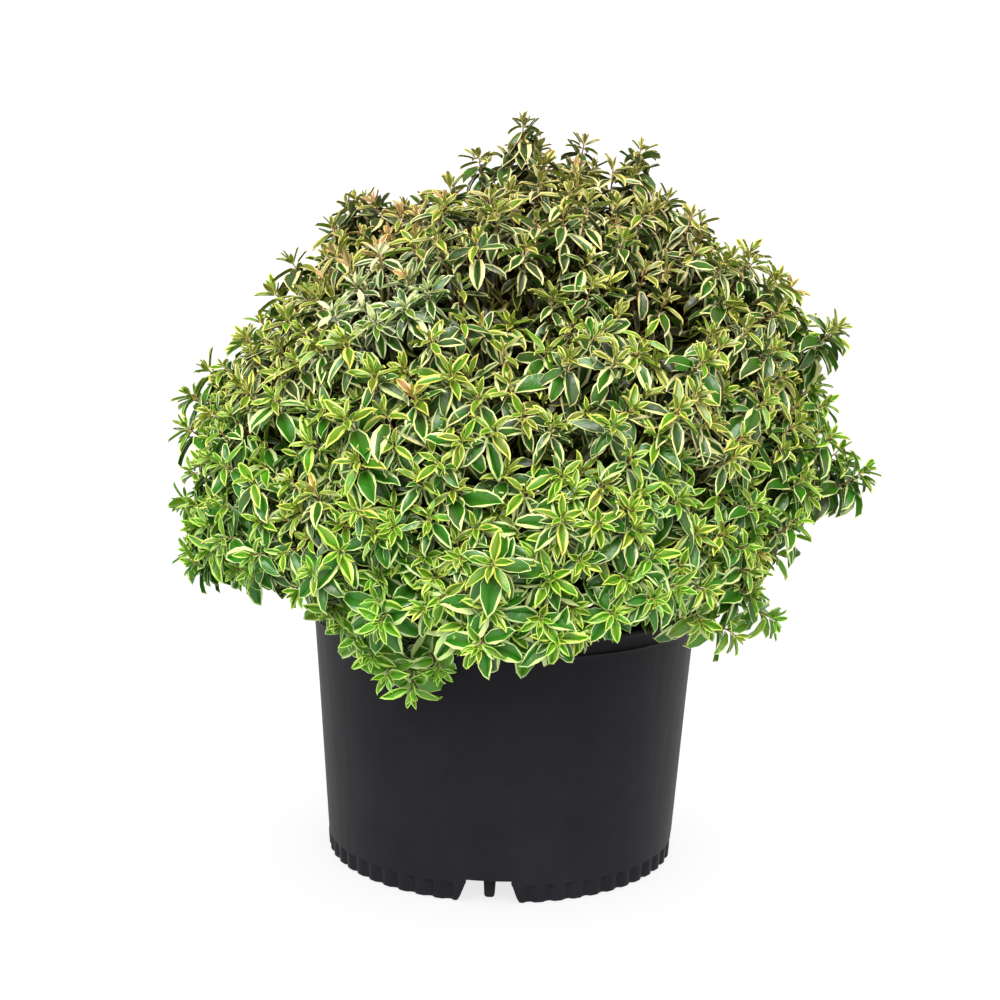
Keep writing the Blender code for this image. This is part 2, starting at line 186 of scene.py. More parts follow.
# %% [markdown]
# ## Floor and light
#
# The picture was taken on white, in light that comes from all round and most of all from the front. A world
# that is brighter at the horizon than overhead gives the first. A sun with a very wide disc, behind the
# camera and half-way up, gives the second, because its shadows are as soft as a large softbox's. The floor
# glows a little and is kept out of the sun's light, so it stays white and only a faint shade lies round the
# pot's foot.

# %% Floor
FLOOR_SIZE = 60.0
FLOOR_GLOW = 0.77

deselect()
bpy.ops.mesh.primitive_plane_add(size=FLOOR_SIZE)
floor = named("floor")
glow = {"Emission_Color": linear("#ffffff"), "Emission_Strength": FLOOR_GLOW}
floor.data.materials.append(material("lit_white_acrylic", "#c8c8c8", 0.9, 1.5, **glow)[0])
print("floor", FLOOR_SIZE, "glow", FLOOR_GLOW)

# %% Light
HORIZON_STRENGTH = 1.2
OVERHEAD_STRENGTH = 0.55
LOW_SKY, HIGH_SKY = 0.08, 0.45
KEY_STRENGTH = 4.7
KEY_DISC = 40
KEY_FROM = (45, -6)

world = bpy.data.worlds.new("studio")
bpy.context.scene.world = world
world.use_nodes = True
sky = world.node_tree
background = sky.nodes["Background"]
background.inputs["Color"].default_value = (1, 1, 1, 1)
around = node(sky, "TexCoord").outputs["Generated"]
height = node(sky, "SeparateXYZ", Vector=around).outputs["Z"]
dome = {"From Min": LOW_SKY, "From Max": HIGH_SKY, "To Min": HORIZON_STRENGTH, "To Max": OVERHEAD_STRENGTH}
feed(background, Strength=node(sky, "MapRange", dome, Value=height))

tilt, turn = [math.radians(x) for x in KEY_FROM]
bpy.ops.object.light_add(type="SUN", location=(-1, -1, 2), rotation=(tilt, 0, turn))
key = bpy.context.object
key.data.energy = KEY_STRENGTH
key.data.angle = math.radians(KEY_DISC)
beside_key = bpy.data.collections.new("beside_key")
beside_key.objects.link(floor)
beside_key.collection_objects[0].light_linking.link_state = "EXCLUDE"
key.light_linking.receiver_collection = beside_key
bpy.context.scene.view_settings.view_transform = "Standard"
print("horizon", HORIZON_STRENGTH, "overhead", OVERHEAD_STRENGTH, "key", KEY_STRENGTH)

# %% [markdown]
# ## The pot's shape
#
# A nursery pot is blow-moulded in one piece: a thin wall that widens towards a banded rim, a raised floor,
# and a fluted foot that stiffens it, with notches that let water out. It is a turned shape, so it is made
# as a turner would draw it. One ring is added under the floor and extruded along the section: out to the
# wall, down the skirt, up the outside, over the lip and down the inside to the floor again. The ring has
# five columns for each flute, so that the flutes can be pressed in afterwards.

# %% The pot's sizes
pot_low, pot_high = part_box("pot")
RIM_RADIUS = (pot_high.x - pot_low.x) / 2
POT_HEIGHT = pot_high.z
BASE_RADIUS = 125.6 * MM
WALL_TOP_RADIUS = 137.8 * MM
BAND_FOOT = POT_HEIGHT - 14 * MM
LIP = 1 * MM
WALL = 1.8 * MM
FLUTES = 56
PER_FLUTE = 5
COLUMNS = PER_FLUTE * FLUTES
FLUTE_DEPTH = 2.2 * MM
FLOOR_UNDER = 17.6 * MM
FLOOR_TOP = 19.6 * MM
CENTRE_RING = 4 * MM


def wall_at(height):
    """The wall's outer radius, which widens evenly up to the rim band."""
    return BASE_RADIUS + (WALL_TOP_RADIUS - BASE_RADIUS) * height / BAND_FOOT


def extrude(step, grow, centre):
    """In edit mode, extrudes what is selected by a step and then scales it about a centre."""
    bpy.ops.mesh.extrude_region_move(TRANSFORM_OT_translate={"value": step})
    bpy.ops.transform.resize(value=grow, center_override=centre)


# %% The pot's section, from under the floor to over it
flute_rings = [(wall_at(z * MM), z * MM) for z in (1, 3, 6, 9, 11.5, 12.5, 13.2, 15)]
section = [
    (wall_at(FLOOR_UNDER) - WALL, FLOOR_UNDER),
    (BASE_RADIUS - WALL, 0.6 * MM),
    (BASE_RADIUS - WALL * 0.6, 0.0),
    *flute_rings,
    (wall_at(0.35 * BAND_FOOT), 0.35 * BAND_FOOT),
    (wall_at(0.7 * BAND_FOOT), 0.7 * BAND_FOOT),
    (WALL_TOP_RADIUS, BAND_FOOT - 3 * MM),
    (WALL_TOP_RADIUS + 0.2 * MM, BAND_FOOT - 0.6 * MM),
    (RIM_RADIUS - 0.8 * MM, BAND_FOOT),
    (RIM_RADIUS - 0.1 * MM, BAND_FOOT + 0.9 * MM),
    (RIM_RADIUS - 0.8 * MM, BAND_FOOT + 1.8 * MM),
    (RIM_RADIUS - 1.5 * MM, BAND_FOOT + 3 * MM),
    (RIM_RADIUS - 1.3 * MM, POT_HEIGHT - 4.6 * MM),
    (RIM_RADIUS - 0.2 * MM, POT_HEIGHT - 3.4 * MM),
    (RIM_RADIUS, POT_HEIGHT - 2 * MM),
    (RIM_RADIUS - 0.4 * LIP, POT_HEIGHT - 0.5 * LIP),
    (RIM_RADIUS - 1.4 * LIP, POT_HEIGHT),
    (RIM_RADIUS - 2.6 * LIP, POT_HEIGHT - 0.8 * LIP),
    (WALL_TOP_RADIUS - WALL, BAND_FOOT),
    (wall_at(FLOOR_TOP) - WALL, FLOOR_TOP + 2 * MM),
    (wall_at(FLOOR_TOP) - WALL - 2 * MM, FLOOR_TOP),
    (CENTRE_RING, FLOOR_TOP),
]
print("section points", len(section))

# %% Extrude the pot along its section
deselect()
bpy.ops.mesh.primitive_circle_add(vertices=COLUMNS, radius=CENTRE_RING, location=(0, 0, FLOOR_UNDER))
pot = named("pot_moulded")
bpy.ops.object.mode_set(mode="EDIT")
bpy.ops.mesh.select_all(action="SELECT")
radius, height = CENTRE_RING, FLOOR_UNDER
for next_radius, next_height in section:
    grow = next_radius / radius
    extrude((0, 0, next_height - height), (grow, grow, 1), (0, 0, next_height))
    radius, height = next_radius, next_height
for level in (FLOOR_UNDER, FLOOR_TOP):
    choose(pot, lambda co: co.xy.length < 1.1 * CENTRE_RING and abs(co.z - level) < 0.1 * MM)
    bpy.ops.mesh.merge(type="CENTER")
bpy.ops.mesh.select_all(action="SELECT")
bpy.ops.mesh.normals_make_consistent(inside=False)
print("pot columns", COLUMNS)

# %% [markdown]
# ## The pot's flutes
#
# Each flute is a narrow pocket pressed into the foot, and the rib beside it stands a little proud. With
# the rings and columns in place they are modelled as by hand: the vertices of one depth are selected all
# round, and scaled a little towards the axis or away from it.

# %% Press in the flutes
# column of a flute, and the share of the depth that it is pressed in by
FLUTE_FORM = {0: -0.2, 2: 0.8, 3: 1.0}
# height in mm, and the share of the depth there
FLUTE_TOP_FORM = {1: 0.9, 3: 1.0, 6: 1.0, 9: 1.0, 11.5: 0.95, 12.5: 0.6}


def column(co):
    """Which of a flute's five columns a vertex is in."""
    return round(math.atan2(co.y, co.x) / math.tau * COLUMNS) % PER_FLUTE


def press(depth, radius, test):
    """Scales the vertices that pass the test towards the axis, so that they move in by this depth."""
    choose(pot, test)
    keep = 1 - depth / radius
    bpy.ops.transform.resize(value=(keep, keep, 1), center_override=(0, 0, 0))


for place, depth in FLUTE_FORM.items():
    press(FLUTE_DEPTH * max(depth, 0), BASE_RADIUS, lambda co: co.z < 0.7 * MM and column(co) == place)
    for level, share in FLUTE_TOP_FORM.items():
        height = level * MM
        outside = wall_at(height) - WALL / 3
        press(FLUTE_DEPTH * depth * share, wall_at(height), lambda co: abs(co.z - height) < 0.2 * MM
              and co.xy.length > outside and column(co) == place)
bpy.ops.object.mode_set(mode="OBJECT")
print("flutes", FLUTES, "triangles", triangles(pot))

# %% [markdown]
# ## Notches, legs and drain holes
#
# Four notches are cut through the skirt a quarter turn apart, each with slanting sides that flare where it
# meets the ground, and behind each stands a small leg under the floor. The cutter is a block that is
# extruded downwards and widened step by step. It is copied round the axis, and one Boolean cuts all four.

# %% Sizes and tools of what is cut
NOTCHES = 4
NOTCH_TURN = math.radians(-93.2)
NOTCH_HEIGHT = 16.4 * MM
NOTCH_TOP_WIDTH = 31 * MM
NOTCH_SLAB = 2 * MM
# height and width in mm, down the sides of a notch
NOTCH_WIDENS = ((4.0, 39), (1.4, 42), (-0.2, 47), (-10, 48))
NOTCH_DEEP = 12 * MM
NOTCH_PAST = 10 * MM
DRAIN_RADIUS = 8 * MM
DRAIN_SETBACK = 24 * MM
LEG_SIZE = 7 * MM
LEG_SETBACK = 10 * MM
LEG_TALL = FLOOR_UNDER + 0.5 * MM
LEG_SPREAD = 1.3
LEG_ROUNDING = 2 * MM
EDGE_ROUNDING = 0.35 * MM
EDGE_ANGLE = math.radians(40)
CREASE_ANGLE = math.radians(35)


def joined(objects):
    """Joins several objects into one."""
    pick(*objects)
    bpy.ops.object.join()
    return bpy.context.object


def cut_round(cutter, how="DIFFERENCE"):
    """Copies a piece to every notch, and cuts all the copies from the pot at once or unites them with it."""
    copies = []
    for i in range(NOTCHES):
        copy = cutter.copy()
        copy.data = cutter.data.copy()
        copy.data.transform(Matrix.Rotation(NOTCH_TURN + math.tau * i / NOTCHES, 4, "Z"))
        bpy.context.scene.collection.objects.link(copy)
        copies.append(copy)
    bpy.data.objects.remove(cutter)
    cutters = joined(copies)
    finish_with(pot, "BOOLEAN", operation=how, object=cutters, solver="EXACT")
    bpy.data.objects.remove(cutters)


# %% Notches
slab_place = (BASE_RADIUS + (NOTCH_PAST - NOTCH_DEEP) / 2, 0, NOTCH_HEIGHT - NOTCH_SLAB / 2)
slab_size = (NOTCH_DEEP + NOTCH_PAST, NOTCH_TOP_WIDTH, NOTCH_SLAB)
deselect()
bpy.ops.mesh.primitive_cube_add(size=1, location=slab_place, scale=slab_size)
notch = named("notch")
bpy.ops.object.mode_set(mode="EDIT")
choose(notch, lambda co: co.z < slab_place[2])
height, width = NOTCH_HEIGHT - NOTCH_SLAB, NOTCH_TOP_WIDTH
for next_height, next_width in NOTCH_WIDENS:
    extrude((0, 0, next_height * MM - height), (1, next_width * MM / width, 1), (0, 0, 0))
    height, width = next_height * MM, next_width * MM
bpy.ops.object.mode_set(mode="OBJECT")
cut_round(notch)
print("notches", NOTCHES, "triangles", triangles(pot))

# %% Drain holes and legs
deselect()
drain_place = (BASE_RADIUS - DRAIN_SETBACK, 0, FLOOR_UNDER)
bpy.ops.mesh.primitive_cylinder_add(vertices=32, radius=DRAIN_RADIUS, depth=8 * MM, location=drain_place)
cut_round(named("drain"))

deselect()
leg_place = (BASE_RADIUS - LEG_SETBACK - LEG_SIZE / 2, 0, LEG_TALL / 2)
bpy.ops.mesh.primitive_cube_add(size=1, location=leg_place, scale=(LEG_SIZE, LEG_SIZE, LEG_TALL))
leg = named("leg")
bpy.ops.object.mode_set(mode="EDIT")
choose(leg, lambda co: co.z > LEG_TALL / 2)
bpy.ops.transform.resize(value=(1, LEG_SPREAD, 1), center_override=leg_place)
bpy.ops.object.mode_set(mode="OBJECT")
finish_with(leg, "BEVEL", width=LEG_ROUNDING, segments=3, limit_method="ANGLE")
cut_round(leg, "UNION")
print("legs", NOTCHES, "triangles", triangles(pot))

# %% Round the pot's edges
finish_with(pot, "BEVEL", width=EDGE_ROUNDING, segments=2, limit_method="ANGLE", angle_limit=EDGE_ANGLE)
pick(pot)
bpy.ops.object.shade_smooth_by_angle(angle=CREASE_ANGLE)
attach(pot, "root")
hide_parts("pot")
print("pot triangles", triangles(pot), "box", [round(x, 4) for x in pot.dimensions])

# %% [markdown]
# ## The pot's plastic
#
# Nursery pots are recycled polyethylene, coloured right through with carbon black. Blow moulding leaves the
# outside with a fine even grain of about half a millimetre, faint flow marks that run up the wall, and a
# satin sheen that shows only near the edges. The colour is almost black and slightly cool. Handling leaves
# pale dust low on the wall. The grain is drawn as bump, and the dust as slightly lighter clouds over the
# whole pot. A noise's scale says how many of its marks go into a metre: 1,900 for the grain, 140 for the
# flow marks.

# %% Black polyethylene
plastic, tree, shader, place = material(
    "moulded_black_polyethylene", "#121215", 0.5, 1.5, Specular_IOR_Level=0.15)
stretched = node(tree, "Mapping", {"Scale": (1, 1, 0.06)}, Vector=place)
flow = node(tree, "TexNoise", {"Scale": 140, "Detail": 3}, Vector=stretched)
grain = node(tree, "TexNoise", {"Scale": 1900, "Detail": 2}, Vector=place)
clouds = node(tree, "TexNoise", {"Scale": 22, "Detail": 5, "Roughness": 0.65}, Vector=place)
tone = node(tree, "ValToRGB", {"Stops": ((0.35, "#0f0e13"), (0.75, "#17161c"))}, Fac=clouds)
rough = node(tree, "MapRange", {"To Min": 0.45, "To Max": 0.62}, Value=flow)
low_bump = node(tree, "Bump", {"Strength": 0.25, "Distance": 0.3 * MM}, Height=flow)
bump = node(tree, "Bump", {"Strength": 0.35, "Distance": 0.1 * MM}, Height=grain, Normal=low_bump)
feed(shader, Base_Color=tone, Roughness=rough, Normal=bump)
pot.data.materials.clear()
pot.data.materials.append(plastic)
print("pot finish", plastic.name)

# %% [markdown]
# ## Many small things
#
# Chips, twigs and leaves come by the hundred or thousand. Each is modelled once, its vertices and faces are
# read into arrays, and the arrays are repeated at every place and joined into one mesh. That is quick, and
# it leaves a plain mesh with nothing live in it.

# %% Repeat a shape into one mesh
def shape_arrays(obj):
    """Reads a modelled shape: its points, its faces one after another, their sizes and their slots."""
    mesh = obj.data
    points = np.array([vert.co[:] for vert in mesh.vertices])
    corners = np.array([i for face in mesh.polygons for i in face.vertices])
    sizes = np.array([len(face.vertices) for face in mesh.polygons])
    slots = np.array([face.material_index for face in mesh.polygons])
    bpy.data.objects.remove(obj)
    return points, corners, sizes, slots


def piece_from(name, points, corners, sizes, slots, materials, smooth=True):
    """Makes one object out of joined arrays, riding on the plant's only body."""
    mesh = bpy.data.meshes.new(name)
    mesh.vertices.add(len(points))
    mesh.vertices.foreach_set("co", np.asarray(points, np.float32).ravel())
    mesh.loops.add(len(corners))
    mesh.loops.foreach_set("vertex_index", np.asarray(corners, np.int32))
    mesh.polygons.add(len(sizes))
    mesh.polygons.foreach_set("loop_start", np.cumsum(sizes, dtype=np.int32) - np.int32(sizes))
    mesh.polygons.foreach_set("material_index", np.asarray(slots, np.int32))
    mesh.polygons.foreach_set("use_smooth", np.full(len(sizes), smooth))
    for made_of in materials:
        mesh.materials.append(made_of)
    mesh.update(calc_edges=True)
    obj = bpy.data.objects.new(name, mesh)
    bpy.context.scene.collection.objects.link(obj)
    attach(obj, "root")
    print(name, "triangles", triangles(obj))
    return obj


def repeated(shape, places):
    """The arrays of a shape copied to each place, where a place holds all of one copy's points."""
    points, corners, sizes, slots = shape
    count = len(places)
    shifts = np.arange(count)[:, None] * len(points)
    corners = (corners[None] + shifts).ravel()
    return places.reshape(-1, 3), corners, np.tile(sizes, count), np.tile(slots, count)


# %% [markdown]
# ## Potting mix
#
# Container mix is mostly composted bark: dark brown crumbs with flat chips of 4 to 12 mm lying at all
# angles. Its body is a cylinder, drawn in towards the foot as the pot is. The top face is inset ring by
# ring, lowered towards the wall and roughened by a cloud pattern. The chips are one bevelled flake, which is
# repeated over the surface with its own size, turn and tilt each time.

# %% Sizes of the mix and its chips
mix_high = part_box("potting_mix")[1]
MIX_RADIUS = mix_high.x
MIX_BOTTOM = FLOOR_TOP + 0.3 * MM
MIX_FACE = mix_high.z - 5 * MM
MIX_FLAT_SHARE = 0.55
MIX_EDGE_DROP = 4 * MM
MIX_RINGS = 14
MIX_RING_WIDTH = 8 * MM
CLOD_ROOM = 3 * MM
CLOD_SIZE = 9 * MM
CLOD_HEIGHT = 5 * MM
CHIPS = 1500
CHIP_SIZE = (9 * MM, 4 * MM, 1.6 * MM)
CHIP_SIZES = (0.5, 1.25)
CHIP_TILT = 0.35
CHIP_SINK = 1.4 * MM
CHIP_REACH = 0.97 * MIX_RADIUS
GOLDEN_ANGLE = math.pi * (3 - math.sqrt(5))


def mix_height(radius):
    """The mix is flat round the stem and lies lower at the wall."""
    past = (radius / MIX_RADIUS - MIX_FLAT_SHARE) / (1 - MIX_FLAT_SHARE)
    return mix_high.z - MIX_EDGE_DROP * max(0.0, past)


# %% Potting mix
deselect()
middle = (MIX_FACE + MIX_BOTTOM) / 2
bpy.ops.mesh.primitive_cylinder_add(vertices=96, radius=MIX_RADIUS - MM, depth=MIX_FACE - MIX_BOTTOM,
                                    end_fill_type="NGON", location=(0, 0, middle))
mix = named("bark_mix")
bpy.ops.object.mode_set(mode="EDIT")
choose(mix, lambda co: co.z < middle)
below = wall_at(MIX_BOTTOM) / wall_at(mix_high.z)
bpy.ops.transform.resize(value=(below, below, 1), center_override=(0, 0, 0))
choose(mix, lambda co: co.z > middle)
for _ in range(MIX_RINGS):
    bpy.ops.mesh.inset(thickness=MIX_RING_WIDTH)
bpy.ops.mesh.merge(type="CENTER")
bpy.ops.object.mode_set(mode="OBJECT")
surface = [vert for vert in mix.data.vertices if vert.co.z > middle]
for vert in surface:
    vert.co.z = mix_height(vert.co.xy.length) - CLOD_ROOM
mix.vertex_groups.new(name="top").add([vert.index for vert in surface], 1.0, "REPLACE")
clods = bpy.data.textures.new("clods", "CLOUDS")
clods.noise_scale = CLOD_SIZE
finish_with(mix, "SUBSURF", levels=1, render_levels=1, subdivision_type="SIMPLE")
finish_with(mix, "DISPLACE", texture=clods, strength=CLOD_HEIGHT, mid_level=0.5, direction="Z",
            vertex_group="top")
mix.data.shade_smooth()
print("mix triangles", triangles(mix))

# %% Bark chips
deselect()
bpy.ops.mesh.primitive_cube_add(size=1, scale=CHIP_SIZE)
chip = named("chip")
finish_with(chip, "BEVEL", width=0.5 * MM, segments=1)
chip_shape = shape_arrays(chip)
chance = random.Random(f"{SEED} chips")
places = []
for i in range(CHIPS):
    radius = CHIP_REACH * math.sqrt((i + 0.5) / CHIPS)
    angle = i * GOLDEN_ANGLE + chance.uniform(-0.4, 0.4)
    spot = Vector((radius * math.cos(angle), radius * math.sin(angle), mix_height(radius) - CHIP_SINK))
    turned = Matrix.Rotation(chance.uniform(0, math.tau), 3, "Z")
    lie = turned @ Matrix.Rotation(chance.gauss(0, CHIP_TILT), 3, "X")
    places.append(chip_shape[0] * chance.uniform(*CHIP_SIZES) @ np.array(lie).T + np.array(spot))
print("chips", CHIPS)

# %% [markdown]
# Composted bark is matt and nearly black when it is moist, with some chips that have dried to a red-brown.
# A noise a few millimetres across deals those tones out, and a finer one roughens the surface.

# %% Composted bark
composted, tree, shader, place = material("composted_bark", "#33241a", 0.95, 1.5)
patches = node(tree, "TexNoise", {"Scale": 180, "Detail": 4, "Roughness": 0.7}, Vector=place)
tone = node(tree, "ValToRGB", {"Stops": ((0.38, "#1c130d"), (0.66, "#6a4a33"))}, Fac=patches)
fibres = node(tree, "TexNoise", {"Scale": 900, "Detail": 6}, Vector=place)
bump = node(tree, "Bump", {"Strength": 0.7, "Distance": 0.6 * MM}, Height=fibres)
feed(shader, Base_Color=tone, Normal=bump)
mix.data.materials.append(composted)
chips = piece_from("bark_chips", *repeated(chip_shape, np.array(places)), [composted], smooth=False)
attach(mix, "root")
for piece in (mix, chips):
    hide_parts("potting_mix")
print("finish", composted.name)

# %% [markdown]
# ## The rule that the crown grows by
#
# The solids were grown by a rule, and the fine crown repeats it. Everything starts at the fork, where the
# short stem ends. Each mass of foliage has a direction from there and owns the directions nearest its
# own. Shoots end on one round surface, whose reach from the fork swells and falls in with direction as the
# real shrub does, and a few leaders stand out of it. The solids have 134 shoots with oversized leaves. Here
# those become branchlets, and several hundred shoots of true size grow from them.

# %% Fork, swells and leaders
STEM_HEAD_RADIUS = 15 * MM
FORK = Vector((0, 0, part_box("stem")[1].z - STEM_HEAD_RADIUS))
BOUGH_END = 0.118
REACH_SIDE = 0.248
REACH_TOP = 0.318
# azimuth and elevation in degrees, and how far the crown swells there, or falls in
SWELLS = ((0, 42, 0.020), (-16, -6, -0.046), (180, 57, -0.018), (180, 26, 0.008))
SWELL_WIDTH = 20
# name, count, elevation of the ring and azimuth of its first mass in degrees
RINGS = (("top", 1, 90, 0), ("upper", 5, 59, -8), ("middle", 7, 33, 12), ("low", 9, 6, -5))
RING_WANDER = math.radians(3)
# azimuth and elevation in degrees, and reach in metres. The last two only bear shoots over the rim.
LEADERS = (
    (0, 89.0, 0.330), (25, 80.0, 0.320), (-5, 74.0, 0.325), (180, 67.5, 0.296), (-4, 39.0, 0.302),
    (-14, 20.0, 0.276), (180, 29.0, 0.268), (172, 10.0, 0.252), (88, 12.0, 0.253), (-92, 14.0, 0.253),
    (-113, -16.0, 0.182), (-84, -9.0, 0.180),
)
RIM_LEADERS = 2
LOWEST = math.radians(-8)


# %% Directions and reach
def towards(azimuth, elevation):
    """The direction at this azimuth and elevation, both in radians."""
    flat = math.cos(elevation)
    return Vector((flat * math.cos(azimuth), flat * math.sin(azimuth), math.sin(elevation)))


def aimed(azimuth, elevation):
    """The direction at this azimuth and elevation, both in degrees."""
    return towards(math.radians(azimuth), math.radians(elevation))


def bell(direction, azimuth, elevation, width):
    """A share that is 1 towards this azimuth and elevation and fades over the width, all in degrees."""
    away = math.degrees(direction.angle(aimed(azimuth, elevation)))
    return math.exp(-((away / width) ** 2))


def reach(direction):
    """How far from the fork the crown's leaf tips stand in this direction."""
    length = REACH_SIDE + (REACH_TOP - REACH_SIDE) * max(direction.z, 0.0) ** 2
    for azimuth, elevation, amount in SWELLS:
        length += amount * bell(direction, azimuth, elevation, SWELL_WIDTH)
    return length


# %% Masses
def mass_directions():
    """Each mass's name and the direction it lies in, ring by ring."""
    chance = random.Random(SEED)
    found = {}
    for name, count, elevation, turn in RINGS:
        for i in range(count):
            wander = RING_WANDER if count > 1 else 0.0
            azimuth = math.radians(turn) + math.tau * i / count + chance.uniform(-wander, wander)
            rise = math.radians(elevation) + chance.uniform(-wander, wander)
            found[f"{name}_{i + 1}" if count > 1 else name] = towards(azimuth, rise)
    return found


masses = mass_directions()
print("fork", FORK[:], "masses", len(masses))

# %% [markdown]
# ## Stem and boughs
#
# A young abelia has smooth red-brown shoots, and bark that flakes in long papery strips where it is older.
# The stem is a circle that is extruded upwards and scaled to its root flare, waist and round head. Each
# bough is a circle extruded along its bow and scaled thinner as it goes. All of them then take real relief:
# a Displace modifier with a pattern of ridges is applied to the mesh.

# %% Tools for limbs
# radius and height of each ring in mm
STEM_RINGS = (
    (20, 172.3), (16.5, 173.6), (13, 176.5), (10.8, 181), (10.6, 186), (12, 190.5), (14.2, 196), (15, 203),
    (14.2, 208), (12, 212.2), (8, 215.8), (3, 217.7),
)
BOUGH_BASE_RADIUS = 3.0 * MM
BOUGH_TIP_RADIUS = 2.1 * MM
BOUGH_BOW = 6 * MM
BOUGH_RINGS = 14
BOUGH_STRAIGHT_ENDS = 0.07
up = Vector((0, 0, 1))


def swept(name, sides, along, stations):
    """Extrudes a circle that faces along through stations of place and radius, and closes both ends."""
    place, radius = stations[0]
    facing_along = along.to_track_quat("Z", "Y").to_euler()
    deselect()
    bpy.ops.mesh.primitive_circle_add(
        vertices=sides, radius=radius, fill_type="NGON", location=place, rotation=facing_along)
    limb = named(name)
    bpy.ops.object.mode_set(mode="EDIT")
    bpy.ops.mesh.select_all(action="SELECT")
    for next_place, next_radius in stations[1:]:
        grow = next_radius / radius
        extrude(next_place - place, (grow, grow, grow), next_place)
        place, radius = next_place, next_radius
    bpy.ops.mesh.select_all(action="SELECT")
    bpy.ops.mesh.normals_make_consistent(inside=False)
    bpy.ops.object.mode_set(mode="OBJECT")
    return limb


def turned_along(axis, turn):
    """A frame whose Z lies along the axis, turned round it by an angle."""
    return axis.to_track_quat("Z", "Y").to_matrix() @ Matrix.Rotation(turn, 3, "Z")


def bough_line(name, direction):
    """The points of one bough, from the stem's head to its mass, straight at both ends with a slight bow."""
    chance = random.Random(f"{SEED} bough {name}")
    start = STEM_HEAD_RADIUS + 0.3 * MM
    sideways = turned_along(direction, chance.uniform(0, math.tau)) @ Vector((1, 0, 0))
    line = []
    for i in range(BOUGH_RINGS + 1):
        share = i / BOUGH_RINGS
        bent = (share - BOUGH_STRAIGHT_ENDS) / (1 - 2 * BOUGH_STRAIGHT_ENDS)
        bow = BOUGH_BOW * math.sin(math.pi * min(max(bent, 0.0), 1.0))
        line.append(FORK + direction * (start + (BOUGH_END - start) * share) + sideways * bow)
    return line


def roughened(obj, size, depth):
    """Gives a limb the relief of bark: ridges of this size and depth."""
    ridges = bpy.data.textures.new("ridges", "MUSGRAVE")
    ridges.noise_scale = size
    ridges.octaves = 4
    finish_with(obj, "SUBSURF", levels=1, render_levels=1)
    finish_with(obj, "DISPLACE", texture=ridges, strength=depth, mid_level=0.5)
    obj.data.shade_smooth()


# %% Stem and boughs
stem = swept("stem_bark", 24, up, [(Vector((0, 0, z * MM)), r * MM) for r, z in STEM_RINGS])
roughened(stem, 4 * MM, 1.1 * MM)
boughs = []
for name, direction in masses.items():
    line = bough_line(name, direction)
    radii = np.linspace(BOUGH_BASE_RADIUS, BOUGH_TIP_RADIUS, len(line))
    boughs.append(swept("bough", 8, direction, list(zip(line, radii))))
joined(boughs)
boughs = named("boughs_bark")
roughened(boughs, 2.2 * MM, 0.5 * MM)
print("stem triangles", triangles(stem), "boughs triangles", triangles(boughs))

# %% [markdown]
# Abelia bark is thin and papery: grey-brown where it has dried, and red-brown in the cracks where a strip
# has come off. A noise that is stretched up the stem gives the strips, and a bump gives their edges.

# %% Papery bark
papery, tree, shader, place = material("papery_abelia_bark", "#8a6a52", 0.85, 1.45)
strips = node(tree, "Mapping", {"Scale": (1, 1, 0.25)}, Vector=place)
flakes = node(tree, "TexNoise", {"Scale": 420, "Detail": 6, "Roughness": 0.6}, Vector=strips)
tone = node(tree, "ValToRGB", {"Stops": ((0.4, "#5e3524"), (0.62, "#a58a70"))}, Fac=flakes)
bump = node(tree, "Bump", {"Strength": 0.6, "Distance": 0.4 * MM}, Height=flakes)
feed(shader, Base_Color=tone, Normal=bump)
for limb in (stem, boughs):
    limb.data.materials.clear()
    limb.data.materials.append(papery)
    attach(limb, "root")
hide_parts("stem")
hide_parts(*["bough_" + name for name in masses])
print("bark", papery.name)

# %% [markdown]
# ## Where the shoots end
#
# The branchlets end where the source's shoots did, spaced by the golden angle. The fine shoots keep the same
# rule with more of them, and each belongs to the branchlet whose direction is nearest. A crown's surface
# isn't smooth: it is a pile of clumps, each the shoots of one branchlet, with dark clefts between. So every
# branchlet gets its own height, and every shoot a little more. Some places are dips in the crown, and in
# others it is thin. The hem is where the shrub stops above the pot, and it isn't level. Over the front of
# the rim some shoots hang down, and beside the leaders stand tufts.

# %% Where shoots hang, stand out or are missing
SOURCE_SHOOTS = 134
SOURCE_LEADER_ROOM = math.radians(7)
SHOOTS = 940
LEADER_ROOM = math.radians(4.5)
LOW_TIP_SPACE = 11 * MM
HIGH_TIP_SPACE = 3 * MM
LEADER_TIP_SPACE = 6 * MM
CLUMP_DEPTH = 23 * MM
SHOOT_DEPTH = 30 * MM
SHOOT_WANDER = 0.012
# azimuth in degrees, and height of the lowest tips there in mm
HEM_TIPS = (
    (-180, 205), (-165, 210), (-150, 222), (-135, 236), (-122, 232), (-112, 214), (-100, 211), (-85, 203),
    (-75, 209), (-66, 227), (-56, 228), (-45, 220), (-30, 228), (-10, 224), (20, 214), (60, 206), (120, 206),
    (160, 208),
)
# azimuth, elevation and width of a dip in the crown in degrees, and its depth
DIPS = (
    (-86, 55, 6, 0.09), (-51, 53, 7, 0.08), (-108, 9, 5, 0.05), (-75, 9, 4, 0.045), (-92, 22, 4, 0.04),
    (180, 74, 9, 0.012), (-5, 4, 13, 0.048), (180, 0, 14, 0.012), (0, 27, 8, 0.010),
    (0, 82.5, 4, 0.032), (0, 75, 3.5, 0.032), (30, 74, 6, 0.020), (0, 67, 5, 0.012),
    (180, 80, 7, 0.034), (130, 77, 8, 0.024), (-140, 78, 6, 0.014), (180, 46, 7, 0.010),
    (0, 57, 9, 0.009), (180, 60, 8, 0.004), (-175, 17, 6, 0.030), (0, 52.5, 4, 0.018),
)
